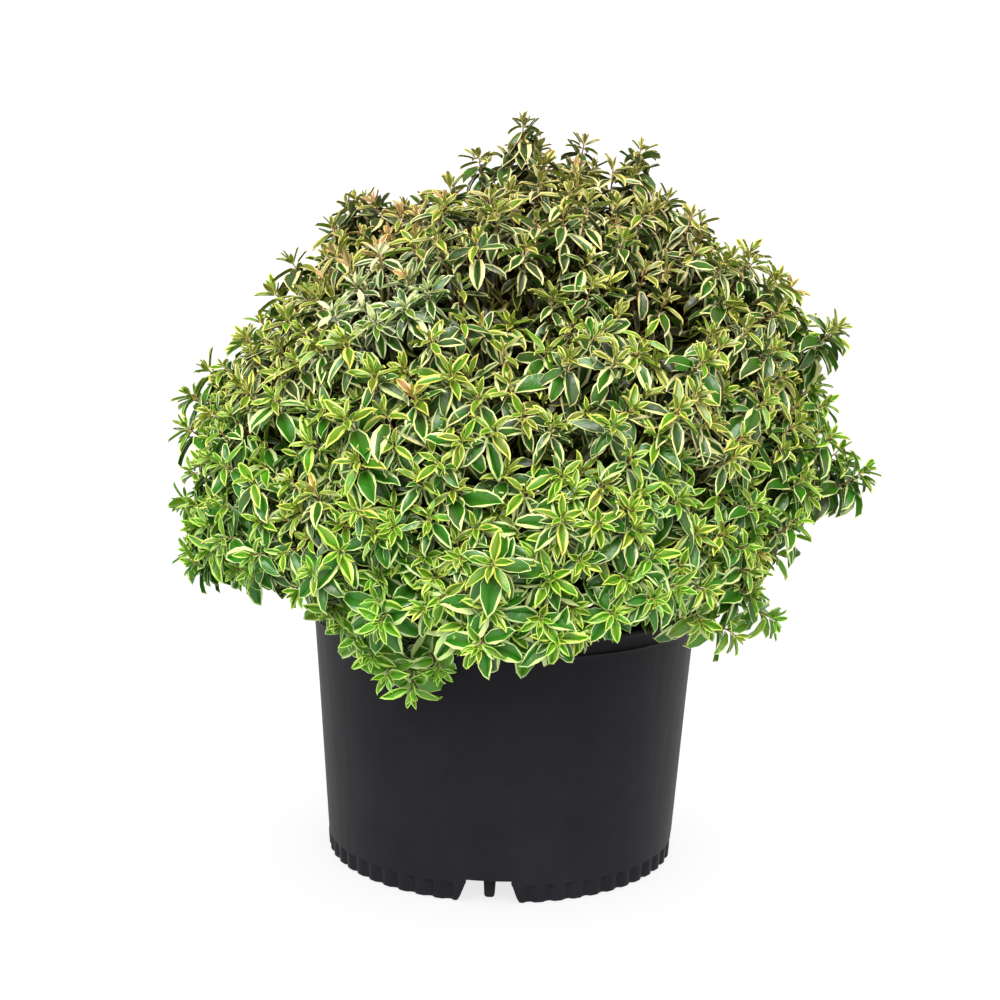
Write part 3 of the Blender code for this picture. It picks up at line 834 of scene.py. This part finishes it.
# azimuth, elevation and width of a place where the crown is thin, and the share of shoots missing there
THINNED = ((176, 4, 14, 0.6), (-150, -4, 12, 0.4), (-20, -4, 12, 0.4))
# azimuth and elevation in degrees and reach in metres, of the shoots that hang and of the tufts
DRAPES = (
    (-131, 5.5, 0.207), (-126, 2.0, 0.194), (-124, -0.5, 0.191), (-121, -3.0, 0.186), (-118, -6.5, 0.186),
    (-115, -10.5, 0.184), (-110, -14.5, 0.180), (-104, -9.5, 0.176), (-98, -3.0, 0.180), (-91, -1.5, 0.178),
    (-83, -3.5, 0.174), (-77, -1.0, 0.178), (-70, 1.5, 0.184), (-62, 6.0, 0.201), (-50, 1.0, 0.200),
    (-40, -3.0, 0.202), (-31, -1.0, 0.212),
)
TUFTS = (
    (180, 85.2, 0.300), (0, 87.2, 0.306), (180, 89.0, 0.300), (-49, 77, 0.290),
    (-30, 80.5, 0.298), (-12, 73.5, 0.302), (0, 68.3, 0.294), (5, 79.2, 0.299),
    (-168, 69.7, 0.284), (180, 66, 0.289), (-161, 77, 0.260), (-170, 63, 0.280), (170, 68, 0.287),
    (0, 47, 0.289), (-9, 50, 0.278), (0, 65, 0.283), (180, 50, 0.262), (180, 55, 0.272), (6, 38, 0.292),
    (-12, 24, 0.258), (-8, 21, 0.256), (-19, 27, 0.260), (-174, 25, 0.253), (180, 34, 0.260),
)


# %% Branchlets and shoots
class Branchlet:
    """One branchlet of a mass: its direction, how far its clump falls short, and its own tint."""

    def __init__(self, direction):
        self.direction = direction
        self.mass = max(masses, key=lambda name: masses[name].dot(direction))
        self.short = CLUMP_DEPTH * chance.random()
        self.tint = chance.gauss(0, 0.6)
        self.cream = chance.random()


class Shoot:
    """The tip and direction of one leafy shoot, and the branchlet that bears it."""

    def __init__(self, direction, length, leads=False, drapes=False):
        self.direction = direction
        self.leads, self.drapes = leads, drapes
        self.bearer = max(branchlets, key=lambda b: b.direction.dot(direction))
        if not leads and not drapes:
            length -= self.bearer.short
        self.tip = FORK + direction * length


def spaced(count):
    """Directions from straight up down to the lowest shoots, spaced by the golden angle."""
    for i in range(count):
        yield towards(i * GOLDEN_ANGLE, math.asin(1 - (i + 0.5) / count * (1 - math.sin(LOWEST))))


def room(direction, others, angle):
    """Whether a direction keeps clear of all the others by this angle."""
    return all(direction.angle(other) > angle for other in others)


# %% Let the shoots grow
chance = random.Random(f"{SEED} shoots")
lead_directions = [aimed(*place) for *place, _ in LEADERS]
branchlets = [Branchlet(direction) for direction in lead_directions]
branchlets += [Branchlet(d) for d in spaced(SOURCE_SHOOTS) if room(d, lead_directions, SOURCE_LEADER_ROOM)]
crown_leaders = LEADERS[:-RIM_LEADERS]
shoots = [Shoot(aimed(*place), length - LEADER_TIP_SPACE, leads=True) for *place, length in crown_leaders]
shoots += [Shoot(aimed(*place), length, drapes=True) for *place, length in DRAPES]
shoots += [Shoot(aimed(*place), length, leads=True) for *place, length in TUFTS]
hem_azimuths, hem_heights = np.array(HEM_TIPS).T
for direction in spaced(SHOOTS):
    wander = Vector([chance.gauss(0, SHOOT_WANDER) for _ in range(3)])
    direction = (direction + wander).normalized()
    rise = min(max(direction.z / 0.6, 0.0), 1.0)
    short = SHOOT_DEPTH * chance.random() ** 2 + LOW_TIP_SPACE + (HIGH_TIP_SPACE - LOW_TIP_SPACE) * rise
    for *place, depth in DIPS:
        short += depth * bell(direction, *place)
    missing = max(share * bell(direction, *place) for *place, share in THINNED)
    shoot = Shoot(direction, reach(direction) - short)
    azimuth = math.degrees(math.atan2(direction.y, direction.x))
    hem = np.interp(azimuth, hem_azimuths, hem_heights, period=360) * MM
    free = room(direction, lead_directions[:-RIM_LEADERS], LEADER_ROOM)
    if free and shoot.tip.z > hem and chance.random() > missing:
        shoots.append(shoot)
print("shoots", len(shoots), "branchlets", len(branchlets))

# %% [markdown]
# ## Branchlets and twigs
#
# From its bough's tip each mass has one limb into its middle. Branchlets fan out from that limb, and a twig
# leaves its branchlet for every fine shoot. Shoots turn up to the light where they can, and hang at the hem.
# All of them are round tapering tubes of a few sides, worked out together as arrays because there are over
# a thousand.

# %% Curves and tubes
MASS_MIDDLE = 0.60
BRANCHLET_END = 0.84
TWIG_JOIN = 0.72
TUBE_POINTS = 6
BRANCHLET_RADII = (1.5 * MM, 0.9 * MM)
TWIG_RADII = (0.8 * MM, 0.45 * MM)
HANG_ZONE = 0.26
# how far a twig's tip turns up, or hangs where it is below zero
DRAPE_RISE = (-0.7, -0.3)
HEM_RISE = (-0.4, 0.3)
CROWN_RISE = (0.1, 0.8)
LEADER_WANDER, TWIG_WANDER = 0.06, 0.2


def curved(start, first, end, last, count):
    """Points of a smooth curve that leaves start along first and arrives at end along last."""
    span = (end - start).length / 3
    a, b = start + first * span, end - last * span
    found = []
    for i in range(count):
        t = i / (count - 1)
        s = 1 - t
        found.append(start * s**3 + a * 3 * s * s * t + b * 3 * s * t * t + end * t**3)
    return found


def tubes(lines, radii, sides):
    """The arrays of round tapering tubes along lines of equal numbers of points, closed at both ends."""
    lines = np.array([[p[:] for p in line] for line in lines])
    count, rings = lines.shape[:2]
    along = np.gradient(lines, axis=1)
    along /= np.linalg.norm(along, axis=2, keepdims=True)
    helper = np.where(np.abs(along[..., 2:3]) < 0.8, [[[0, 0, 1.0]]], [[[1.0, 0, 0]]])
    across = np.cross(along, helper)
    across /= np.linalg.norm(across, axis=2, keepdims=True)
    other = np.cross(along, across)
    angles = np.arange(sides) * math.tau / sides
    radius = np.linspace(*radii, rings)[None, :, None, None]
    ring = across[:, :, None] * np.cos(angles)[:, None] + other[:, :, None] * np.sin(angles)[:, None]
    points = lines[:, :, None] + ring * radius
    side, level = np.meshgrid(np.arange(sides), np.arange(rings - 1))
    after = (side + 1) % sides
    walls = np.stack([level * sides + side, level * sides + after, (level + 1) * sides + after,
                      (level + 1) * sides + side], -1).reshape(-1)
    base = np.arange(sides)
    corners = np.concatenate([walls, base[::-1], base + (rings - 1) * sides])
    sizes = np.array([4] * (sides * (rings - 1)) + [sides, sides])
    shape = (points[0].reshape(-1, 3), corners, sizes, np.zeros(len(sizes), int))
    return repeated(shape, points.reshape(count, -1, 3))


# %% Lines of the branchlets and twigs
limbs = {}
for name, direction in masses.items():
    start = FORK + direction * (BOUGH_END - 2 * MM)
    middle = FORK + direction * (MASS_MIDDLE * reach(direction))
    limbs[name] = curved(start, direction, middle, direction, TUBE_POINTS)
branchlets = [branchlet for branchlet in branchlets if any(shoot.bearer is branchlet for shoot in shoots)]
for i, branchlet in enumerate(branchlets):
    start = limbs[branchlet.mass][3 + i % 3]
    tips = [shoot.tip - FORK for shoot in shoots if shoot.bearer is branchlet]
    end = FORK + sum(tips, Vector()) / len(tips) * BRANCHLET_END
    branchlet.line = curved(start, masses[branchlet.mass], end, branchlet.direction, TUBE_POINTS)
for shoot in shoots:
    start, end = shoot.bearer.line[0], shoot.bearer.line[-1]
    join = start.lerp(end, TWIG_JOIN)
    if shoot.drapes:
        rises = DRAPE_RISE
    else:
        rises = HEM_RISE if shoot.tip.z < HANG_ZONE else CROWN_RISE
    rise = chance.uniform(*rises)
    wander = Vector([chance.gauss(0, LEADER_WANDER if shoot.leads else TWIG_WANDER) for _ in range(3)])
    last = (shoot.direction + up * rise + wander).normalized()
    first = ((shoot.tip - join).normalized() + shoot.direction).normalized()
    shoot.line = curved(join, first, shoot.tip, last, TUBE_POINTS)
print("limbs", len(limbs), "branchlets", len(branchlets), "twigs", len(shoots))

# %% [markdown]
# Young abelia wood is smooth, thin-barked and wine-red where the sun reaches it. A soft noise along the
# twig mixes in the green of the newest growth. It has a faint waxy shine.

# %% Young twigs
young, tree, shader, place = material("young_abelia_twig", "#7c4a35", 0.55, 1.45)
patches = node(tree, "TexNoise", {"Scale": 60, "Detail": 3}, Vector=place)
tone = node(tree, "ValToRGB", {"Stops": ((0.4, "#6e3527"), (0.7, "#8c7a44"))}, Fac=patches)
feed(shader, Base_Color=tone)
thick = list(limbs.values()) + [branchlet.line for branchlet in branchlets]
branch_piece = piece_from("branchlets", *tubes(thick, BRANCHLET_RADII, 6), [papery])
twig_piece = piece_from("twigs", *tubes([shoot.line for shoot in shoots], TWIG_RADII, 4), [young])
for piece in (branch_piece, twig_piece):
    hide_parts(*["foliage_" + name for name in masses])

# %% [markdown]
# ## One leaf
#
# An abelia leaf is 25 to 30 mm long, oval with an acute tip, folded along its midrib, with a cream or yellow
# margin about a millimetre wide. It starts as a grid of two columns. Each row is moved and scaled to the
# leaf's outline and the end rows are merged to points. Insetting all the faces makes the margin, a strip
# that takes its own colour. The midrib is pressed down and its edges are split, so that light breaks sharply
# at the fold. Two leaves are enough: a broad one for the shaded lower shoots, and a narrow one with a wider
# margin for the sunny top and for all young leaves.

# %% Model the leaves
LEAF_ROWS = 5
# share of the length, and share of the width there
BROAD_OUTLINE = ((0, 0), (0.13, 0.50), (0.36, 0.98), (0.62, 0.91), (0.85, 0.47), (1, 0))
NARROW_OUTLINE = ((0, 0), (0.14, 0.48), (0.37, 0.97), (0.63, 0.89), (0.86, 0.42), (1, 0))


def leaf_shape(name, length, width, margin, outline, fold):
    """Models one flat leaf of real size along +Y and reads it into arrays."""
    deselect()
    bpy.ops.mesh.primitive_grid_add(
        x_subdivisions=2, y_subdivisions=LEAF_ROWS, size=length, location=(0, length / 2, 0))
    leaf = named(name)
    bpy.ops.object.mode_set(mode="EDIT")
    bpy.ops.mesh.select_all(action="SELECT")
    bpy.ops.transform.resize(value=(width / length, 1, 1), center_override=(0, 0, 0))
    for row, (along, share) in enumerate(outline):
        before = length * row / LEAF_ROWS
        choose(leaf, lambda co: abs(co.y - before) < 0.1 * MM)
        bpy.ops.transform.translate(value=(0, length * along - before, 0))
        bpy.ops.transform.resize(value=(share, 1, 1), center_override=(0, 0, 0))
        if share == 0:
            bpy.ops.mesh.merge(type="CENTER")
    bpy.ops.mesh.select_all(action="SELECT")
    bpy.ops.mesh.inset(thickness=margin)
    for _ in range(2):
        leaf.data.materials.append(None)
    leaf.active_material_index = 1
    bpy.ops.object.material_slot_assign()
    choose(leaf, lambda co: abs(co.x) < 0.01 * MM)
    bpy.ops.transform.translate(value=(0, 0, -fold))
    bpy.ops.mesh.edge_split(type="EDGE")
    bpy.ops.object.mode_set(mode="OBJECT")
    print(name, "points", len(leaf.data.vertices), "triangles", triangles(leaf))
    return shape_arrays(leaf)


# length, width, width of the margin, outline and depth of the fold
broad_leaf = leaf_shape("broad_leaf", 27 * MM, 11 * MM, 0.68 * MM, BROAD_OUTLINE, 2.8 * MM)
narrow_leaf = leaf_shape("narrow_leaf", 26 * MM, 8.6 * MM, 1.1 * MM, NARROW_OUTLINE, 2.5 * MM)

# %% [markdown]
# ## Leaf colours
#
# The leaves are leathery, with a waxy skin that gives a satin sheen and puckers between the veins. The
# puckers are drawn coarser than the real 2 mm, so that the sheen still breaks up at this distance. The
# colours change with age: a young leaf is light green edged with yellow, a grown one is deep green edged
# with cream, and an old one, further in, is dark with a dull edge. Old leaves are darker in life, but the
# old colours are darker still, with edges of dull green, as painted shade for the inside of the crown. On
# the shoots that hang over the rim, a grown leaf takes a young leaf's lighter blade and an old one a grown
# leaf's colours, as painted light against the crown's shadow there. The colours change with place too:
# bright green and lime where the shrub hangs in its own shade, and grey-green and straw at the sunny top,
# with bronze in the newest growth. A colour that has a place is dealt out by the spray, each as a plain
# colour of its own, so each list runs from the hem to the top.

# %% Leaf materials
PUCKER = 4 * MM
LEAF_COLOURS = {
    "blade": ("#2b6c08", "#31680c", "#36640f", "#3a5a1c", "#3d5426", "#414f2a"),
    "young_blade": ("#518c12", "#5b8a18", "#66881a", "#6b8320", "#6e7a28", "#727630"),
    # The two old lists are darker than old leaves are in life, and their edges are dull green: painted shade
    # for the inside of the crown.
    "old_blade_painted_shade": ("#163c02", "#183402", "#1b2c04", "#1e2605", "#212406", "#242308"),
    "margin": ("#b3cc78", "#c0d384", "#ccd98c", "#d3d690", "#d6d090", "#d6c98c"),
    "young_margin": ("#a8ce54", "#b8d056", "#c6ce5a", "#ccc860", "#cec068", "#ccb672"),
    "old_margin_painted_shade": ("#56720e", "#5e6f14", "#626a1c", "#646624", "#646228", "#625b2c"),
    "pale": ("#b4c480", "#bac888", "#c2cc92", "#c8d09a", "#cccf9e", "#cccb9e"),
    "bronze": ("#9c9a3a", "#a0923e", "#a68c4a", "#ac8656", "#b08460", "#b08266"),
}
TONES = 6
LEAF_ROUGHNESS = 0.36


def leaf_material(name, colour):
    """A leathery waxy leaf skin in one plain colour."""
    made, tree, shader, place = material(name, colour, LEAF_ROUGHNESS, 1.45, Specular_IOR_Level=0.6)
    puckers = node(tree, "TexNoise", {"Scale": 1 / PUCKER, "Detail": 2}, Vector=place)
    bump = node(tree, "Bump", {"Strength": 0.6, "Distance": 0.9 * MM}, Height=puckers)
    dull_and_bright = {"To Min": LEAF_ROUGHNESS - 0.08, "To Max": LEAF_ROUGHNESS + 0.1}
    feed(shader, Roughness=node(tree, "MapRange", dull_and_bright, Value=puckers), Normal=bump)
    return made


leaf_materials = []
first_tone = {}
for kind, colours in LEAF_COLOURS.items():
    first_tone[kind] = len(leaf_materials)
    leaf_materials += [leaf_material(f"{kind}_{i + 1}", colour) for i, colour in enumerate(colours)]
print("leaf materials", len(leaf_materials))

# %% [markdown]
# ## Leaves on the shoots
#
# Abelia leaves stand in pairs or threes at each node of a shoot, and each node is turned against the last.
# The nodes crowd together towards the tip. There the leaves are small and upright, and further down they
# open flat and then hang. Little side shoots come from some of the axils, and a few large old leaves stay
# on the branchlets inside. For every leaf its root, direction, face, size, bend and colours are noted, and
# the array step below bends all of them at once.

# %% How leaves stand on a shoot
CROWN_LOW, CROWN_HIGH = 0.18, 0.52
NODES = (
    # distance below the tip in mm, angle from the shoot in degrees, size, bend, age
    (0.0, 18, 0.34, 0.1, "young"),
    (1.5, 40, 0.56, 0.3, "young"),
    (4.0, 60, 0.80, 0.5, "young"),
    (8.0, 72, 0.98, 0.6, "grown"),
    (13.0, 80, 1.05, 0.7, "grown"),
    (19.0, 88, 1.05, 0.8, "grown"),
    (27.0, 93, 1.0, 0.8, "old"),
    (36.0, 95, 0.95, 0.8, "old"),
    (46.0, 98, 1.15, 0.8, "old"),
    (58.0, 100, 1.25, 0.8, "old"),
    (72.0, 100, 1.25, 0.8, "old"),
)
DEEP = 50
LEADER_NODES = NODES[:6] + (
    (27.0, 93, 1.0, 0.8, "grown"), (35.0, 97, 0.95, 0.8, "grown"), (44.0, 98, 0.95, 0.8, "old"),
)
AGES = {
    "young": ("young_blade", "young_margin"),
    "grown": ("blade", "margin"),
    "old": ("old_blade_painted_shade", "old_margin_painted_shade"),
}
# the middle and the width of two sprays whose new leaves are pale or bronze
PALE_SPRAY = (aimed(-121, 52), math.radians(8))
BRONZE_SPRAY = (aimed(-145, 66), math.radians(11))
BRONZE_SHARE = 0.07
INNER_NODES = (8, 24, 40, 56)
INNER_ANGLE = 75
INNER_SIZE = 1.3
INNER_LOWEST = 0.215
SIDE_SHOOT_SHARE = 0.24
SPIRE_VIGOUR = 0.85
DROOP = 0.42
LEADER_DROOP = 0.6
CREAM_SHARE = 0.14
LEAD_VIGOUR = 1.12
VIGOURS = (0.82, 1.12)
LEAF_SIZES = (0.76, 1.14)
SIDE_LEAF_SIZES = (0.36, 0.58)
SIDE_ANGLE, SIDE_STEP, SIDE_SPREAD = 38, 20, 0.6
SIDE_START = 3 * MM
SIDE_BEND = 0.3
LEAN_SPREAD, SIDE_LEAN_SPREAD, INNER_LEAN_SPREAD = 9, 8, 12
DROOPS = (0.3, 1.5)
BENDS = (0.4, 2.0)
TWIST = 0.5
LIGHTWARDS = 0.35
TONE_SPREAD = 0.6
broad_leaves = {name: [] for name in masses}
narrow_leaves = {name: [] for name in masses}


# %% Tools that note a leaf
def place_on(line, below_tip):
    """The point and direction this far below the tip of a twig's line."""
    left = below_tip
    for a, b in zip(line[::-1], line[-2::-1]):
        step = (a - b).length
        if left <= step:
            return a.lerp(b, left / step), (a - b).normalized()
        left -= step
    return line[0], (line[1] - line[0]).normalized()


def add_leaf(found, root, along, axis, size, bend, wide, colours):
    """Notes one leaf: it lies along a direction, with its face towards the shoot's tip and the light."""
    light = (axis + up * LIGHTWARDS).normalized()
    face = light - along * light.dot(along)
    face = face.normalized() if face.length > 0.05 else along.orthogonal().normalized()
    bend *= chance.uniform(*BENDS)
    found.append((*root, *along, *face, size, bend, chance.gauss(0, TWIST), wide, *colours))


def tone_of(kind, height):
    """Which colour of a kind suits this height in the crown, with some chance in it."""
    step = round(height * (TONES - 1) + chance.gauss(0, TONE_SPREAD))
    return first_tone[kind] + min(max(step, 0), TONES - 1)


def within(direction, centre, width):
    """Whether a direction lies within a spray, which has a middle and a width."""
    return direction.angle(centre) < width


# %% Leaves of the shoots
for shoot in shoots:
    height = (shoot.tip.z - CROWN_LOW) / (CROWN_HIGH - CROWN_LOW) + shoot.bearer.tint / TONES
    wide_leaved = shoot.leads or chance.random() > height * 1.3 - 0.1
    creamy = shoot.bearer.cream < CREAM_SHARE * (0.4 + height)
    pale = within(shoot.direction, *PALE_SPRAY)
    bronze = within(shoot.direction, *BRONZE_SPRAY) or chance.random() < BRONZE_SHARE * height
    wide = 0.4 if creamy else max(0.0, 0.3 * height * chance.random())
    per_node = 3 if shoot.leads or chance.random() < 0.5 else 2
    turn = chance.uniform(0, math.tau)
    spire = shoot.leads and shoot.direction.z > 0.9
    vigour = LEAD_VIGOUR if shoot.leads else chance.uniform(*VIGOURS)
    vigour = SPIRE_VIGOUR if spire or pale else vigour
    droop = LEADER_DROOP if shoot.leads else DROOP
    for below, angle, size, bend, age in LEADER_NODES if shoot.leads else NODES:
        root, axis = place_on(shoot.line, below * MM * vigour)
        turn += math.pi / per_node
        for i in range(per_node if below < DEEP else 1):
            around = turned_along(axis, turn + math.tau * i / per_node)
            lean = math.radians(angle + chance.gauss(0, LEAN_SPREAD))
            along = around @ Vector((math.sin(lean), 0, math.cos(lean)))
            hang = droop * size * math.sin(lean) * chance.uniform(*DROOPS)
            along = (along - up * hang).normalized()
            kinds = list(AGES[age])
            if bronze and below < 3:
                kinds = ["bronze", "young_margin"]
            elif pale and age != "old":
                kinds[1] = "pale"
                if age == "young" and chance.random() < 0.6:
                    kinds[0] = "pale"
            # The hanging shoots lie in the crown's shadow, so a grown leaf there takes a young leaf's
            # lighter blade and an old one a grown leaf's colours: painted light against that shadow.
            elif shoot.drapes and age == "grown":
                kinds = ["young_blade", "margin"]
            elif shoot.drapes and age == "old":
                kinds = ["blade", "margin"]
            colours = [tone_of(kind, height) for kind in kinds]
            broad = wide_leaved and age != "young"
            found = (broad_leaves if broad else narrow_leaves)[shoot.bearer.mass]
            grown = size * vigour * chance.uniform(*LEAF_SIZES)
            add_leaf(found, root, along, axis, grown, bend, wide, colours)
            if 3 < below < DEEP and chance.random() < SIDE_SHOOT_SHARE:
                for k in range(2):
                    lean = math.radians(SIDE_ANGLE + SIDE_STEP * k + chance.gauss(0, SIDE_LEAN_SPREAD))
                    aside = SIDE_SPREAD * (k - 0.5)
                    side = around @ Vector((math.sin(lean), aside, math.cos(lean))).normalized()
                    little = chance.uniform(*SIDE_LEAF_SIZES)
                    add_leaf(found, root + side * SIDE_START, side, axis, little, SIDE_BEND, wide, colours)
print("leaves on shoots", sum(map(len, [*broad_leaves.values(), *narrow_leaves.values()])))

# %% Old leaves inside
# These inner leaves take the old colours, whose extra darkness is painted shade.
for branchlet in branchlets:
    height = (branchlet.line[-1].z - CROWN_LOW) / (CROWN_HIGH - CROWN_LOW)
    turn = chance.uniform(0, math.tau)
    for below in INNER_NODES:
        root, axis = place_on(branchlet.line, below * MM)
        if root.z < INNER_LOWEST:
            continue
        turn += math.pi / 3
        for i in range(3):
            around = turned_along(axis, turn + math.tau * i / 3)
            lean = math.radians(INNER_ANGLE + chance.gauss(0, INNER_LEAN_SPREAD))
            along = around @ Vector((math.sin(lean), 0, math.cos(lean)))
            colours = [tone_of(kind, height) for kind in AGES["old"]]
            add_leaf(broad_leaves[branchlet.mass], root, along, axis, INNER_SIZE, 0.8, 0.0, colours)
print("leaves", sum(map(len, broad_leaves.values())), sum(map(len, narrow_leaves.values())))

# %% [markdown]
# The arrays: every point of a leaf is carried along an arc that bends away from the leaf's face, then set
# out along the leaf's own three directions. Here and there one half of a blade is drawn in, which widens
# the margin on that side. One piece holds the leaves of a few neighbouring masses.

# %% Bend the leaves
LEAST_BEND = 1e-3
HALF_DRAWN_IN = 0.45
EDGE_WAVER = 0.24
BLADE_LIMIT = 1.1
MOTTLE = (-2, -1, 0, 0, 1)


def bent_leaves(shape, leaves):
    """The arrays of all these leaves, each bent, twisted, turned and sized."""
    points, corners, sizes, slots = shape
    table = np.array(leaves)
    root, along, face = table[:, None, 0:3], table[:, None, 3:6], table[:, None, 6:9]
    size, arch, twist, wide, blade, margin = [table[:, k : k + 1] for k in range(9, 15)]
    arch = arch + LEAST_BEND
    across = np.cross(along, face)
    length = points[:, 1].max()
    share = points[None, :, 1] / length
    inner = np.isin(np.arange(len(points)), corners[np.repeat(slots, sizes) == 1])
    shape_chance = np.random.default_rng(len(table))
    one_side = (shape_chance.random((len(table), 2)) < wide)[:, (points[:, 0] > 0).astype(int)]
    waver = 1 + shape_chance.normal(0, EDGE_WAVER, (len(table), len(points)))
    drawn_in = np.where(one_side, HALF_DRAWN_IN, 1.0) * waver
    x = points[None, :, 0] * np.where(inner, np.minimum(drawn_in, BLADE_LIMIT), 1.0)
    z = points[None, :, 2]
    cosine, sine = np.cos(twist * share), np.sin(twist * share)
    x, z = x * cosine - z * sine, x * sine + z * cosine
    bend = arch * share
    forward = length * np.sin(bend) / arch + z * np.sin(bend)
    upward = z * np.cos(bend) - length * (1 - np.cos(bend)) / arch
    x, forward, upward = [(v * size)[..., None] for v in (x, forward, upward)]
    placed = root + across * x + along * forward + face * upward
    placed, corners, sizes, _ = repeated(shape, placed)
    first = blade // TONES * TONES
    mottle = shape_chance.choice(MOTTLE, (len(table), len(slots)))
    mottled = np.clip(blade + mottle, first, first + TONES - 1)
    return placed, corners, sizes, np.where(slots == 1, mottled, margin).astype(int).ravel()


def together(*several):
    """Joins the arrays of several meshes."""
    shifts = np.cumsum([0] + [len(arrays[0]) for arrays in several[:-1]])
    corners = [arrays[1] + shift for arrays, shift in zip(several, shifts)]
    return (np.concatenate([arrays[0] for arrays in several]), np.concatenate(corners),
            *[np.concatenate([arrays[k] for arrays in several]) for k in (2, 3)])


# %% Join the leaves
PIECES = {
    "leaves_top": ("top", "upper_1", "upper_2"),
    "leaves_upper": ("upper_3", "upper_4", "upper_5"),
    "leaves_middle_a": ("middle_1", "middle_2", "middle_3"),
    "leaves_middle_b": ("middle_4", "middle_5"),
    "leaves_middle_c": ("middle_6", "middle_7"),
    "leaves_low_a": ("low_1", "low_2", "low_3"),
    "leaves_low_b": ("low_4", "low_5", "low_6"),
    "leaves_low_c": ("low_7", "low_8", "low_9"),
}
for piece_name, starts in PIECES.items():
    names = [name for name in masses if name.startswith(starts)]
    broad = [leaf for name in names for leaf in broad_leaves[name]]
    narrow = [leaf for name in names for leaf in narrow_leaves[name]]
    arrays = together(bent_leaves(broad_leaf, broad), bent_leaves(narrow_leaf, narrow))
    piece = piece_from(piece_name, *arrays, leaf_materials)
    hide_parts(*["foliage_" + name for name in names])

# %% [markdown]
# ## The end

# %% Finish
bpy.context.view_layer.update()
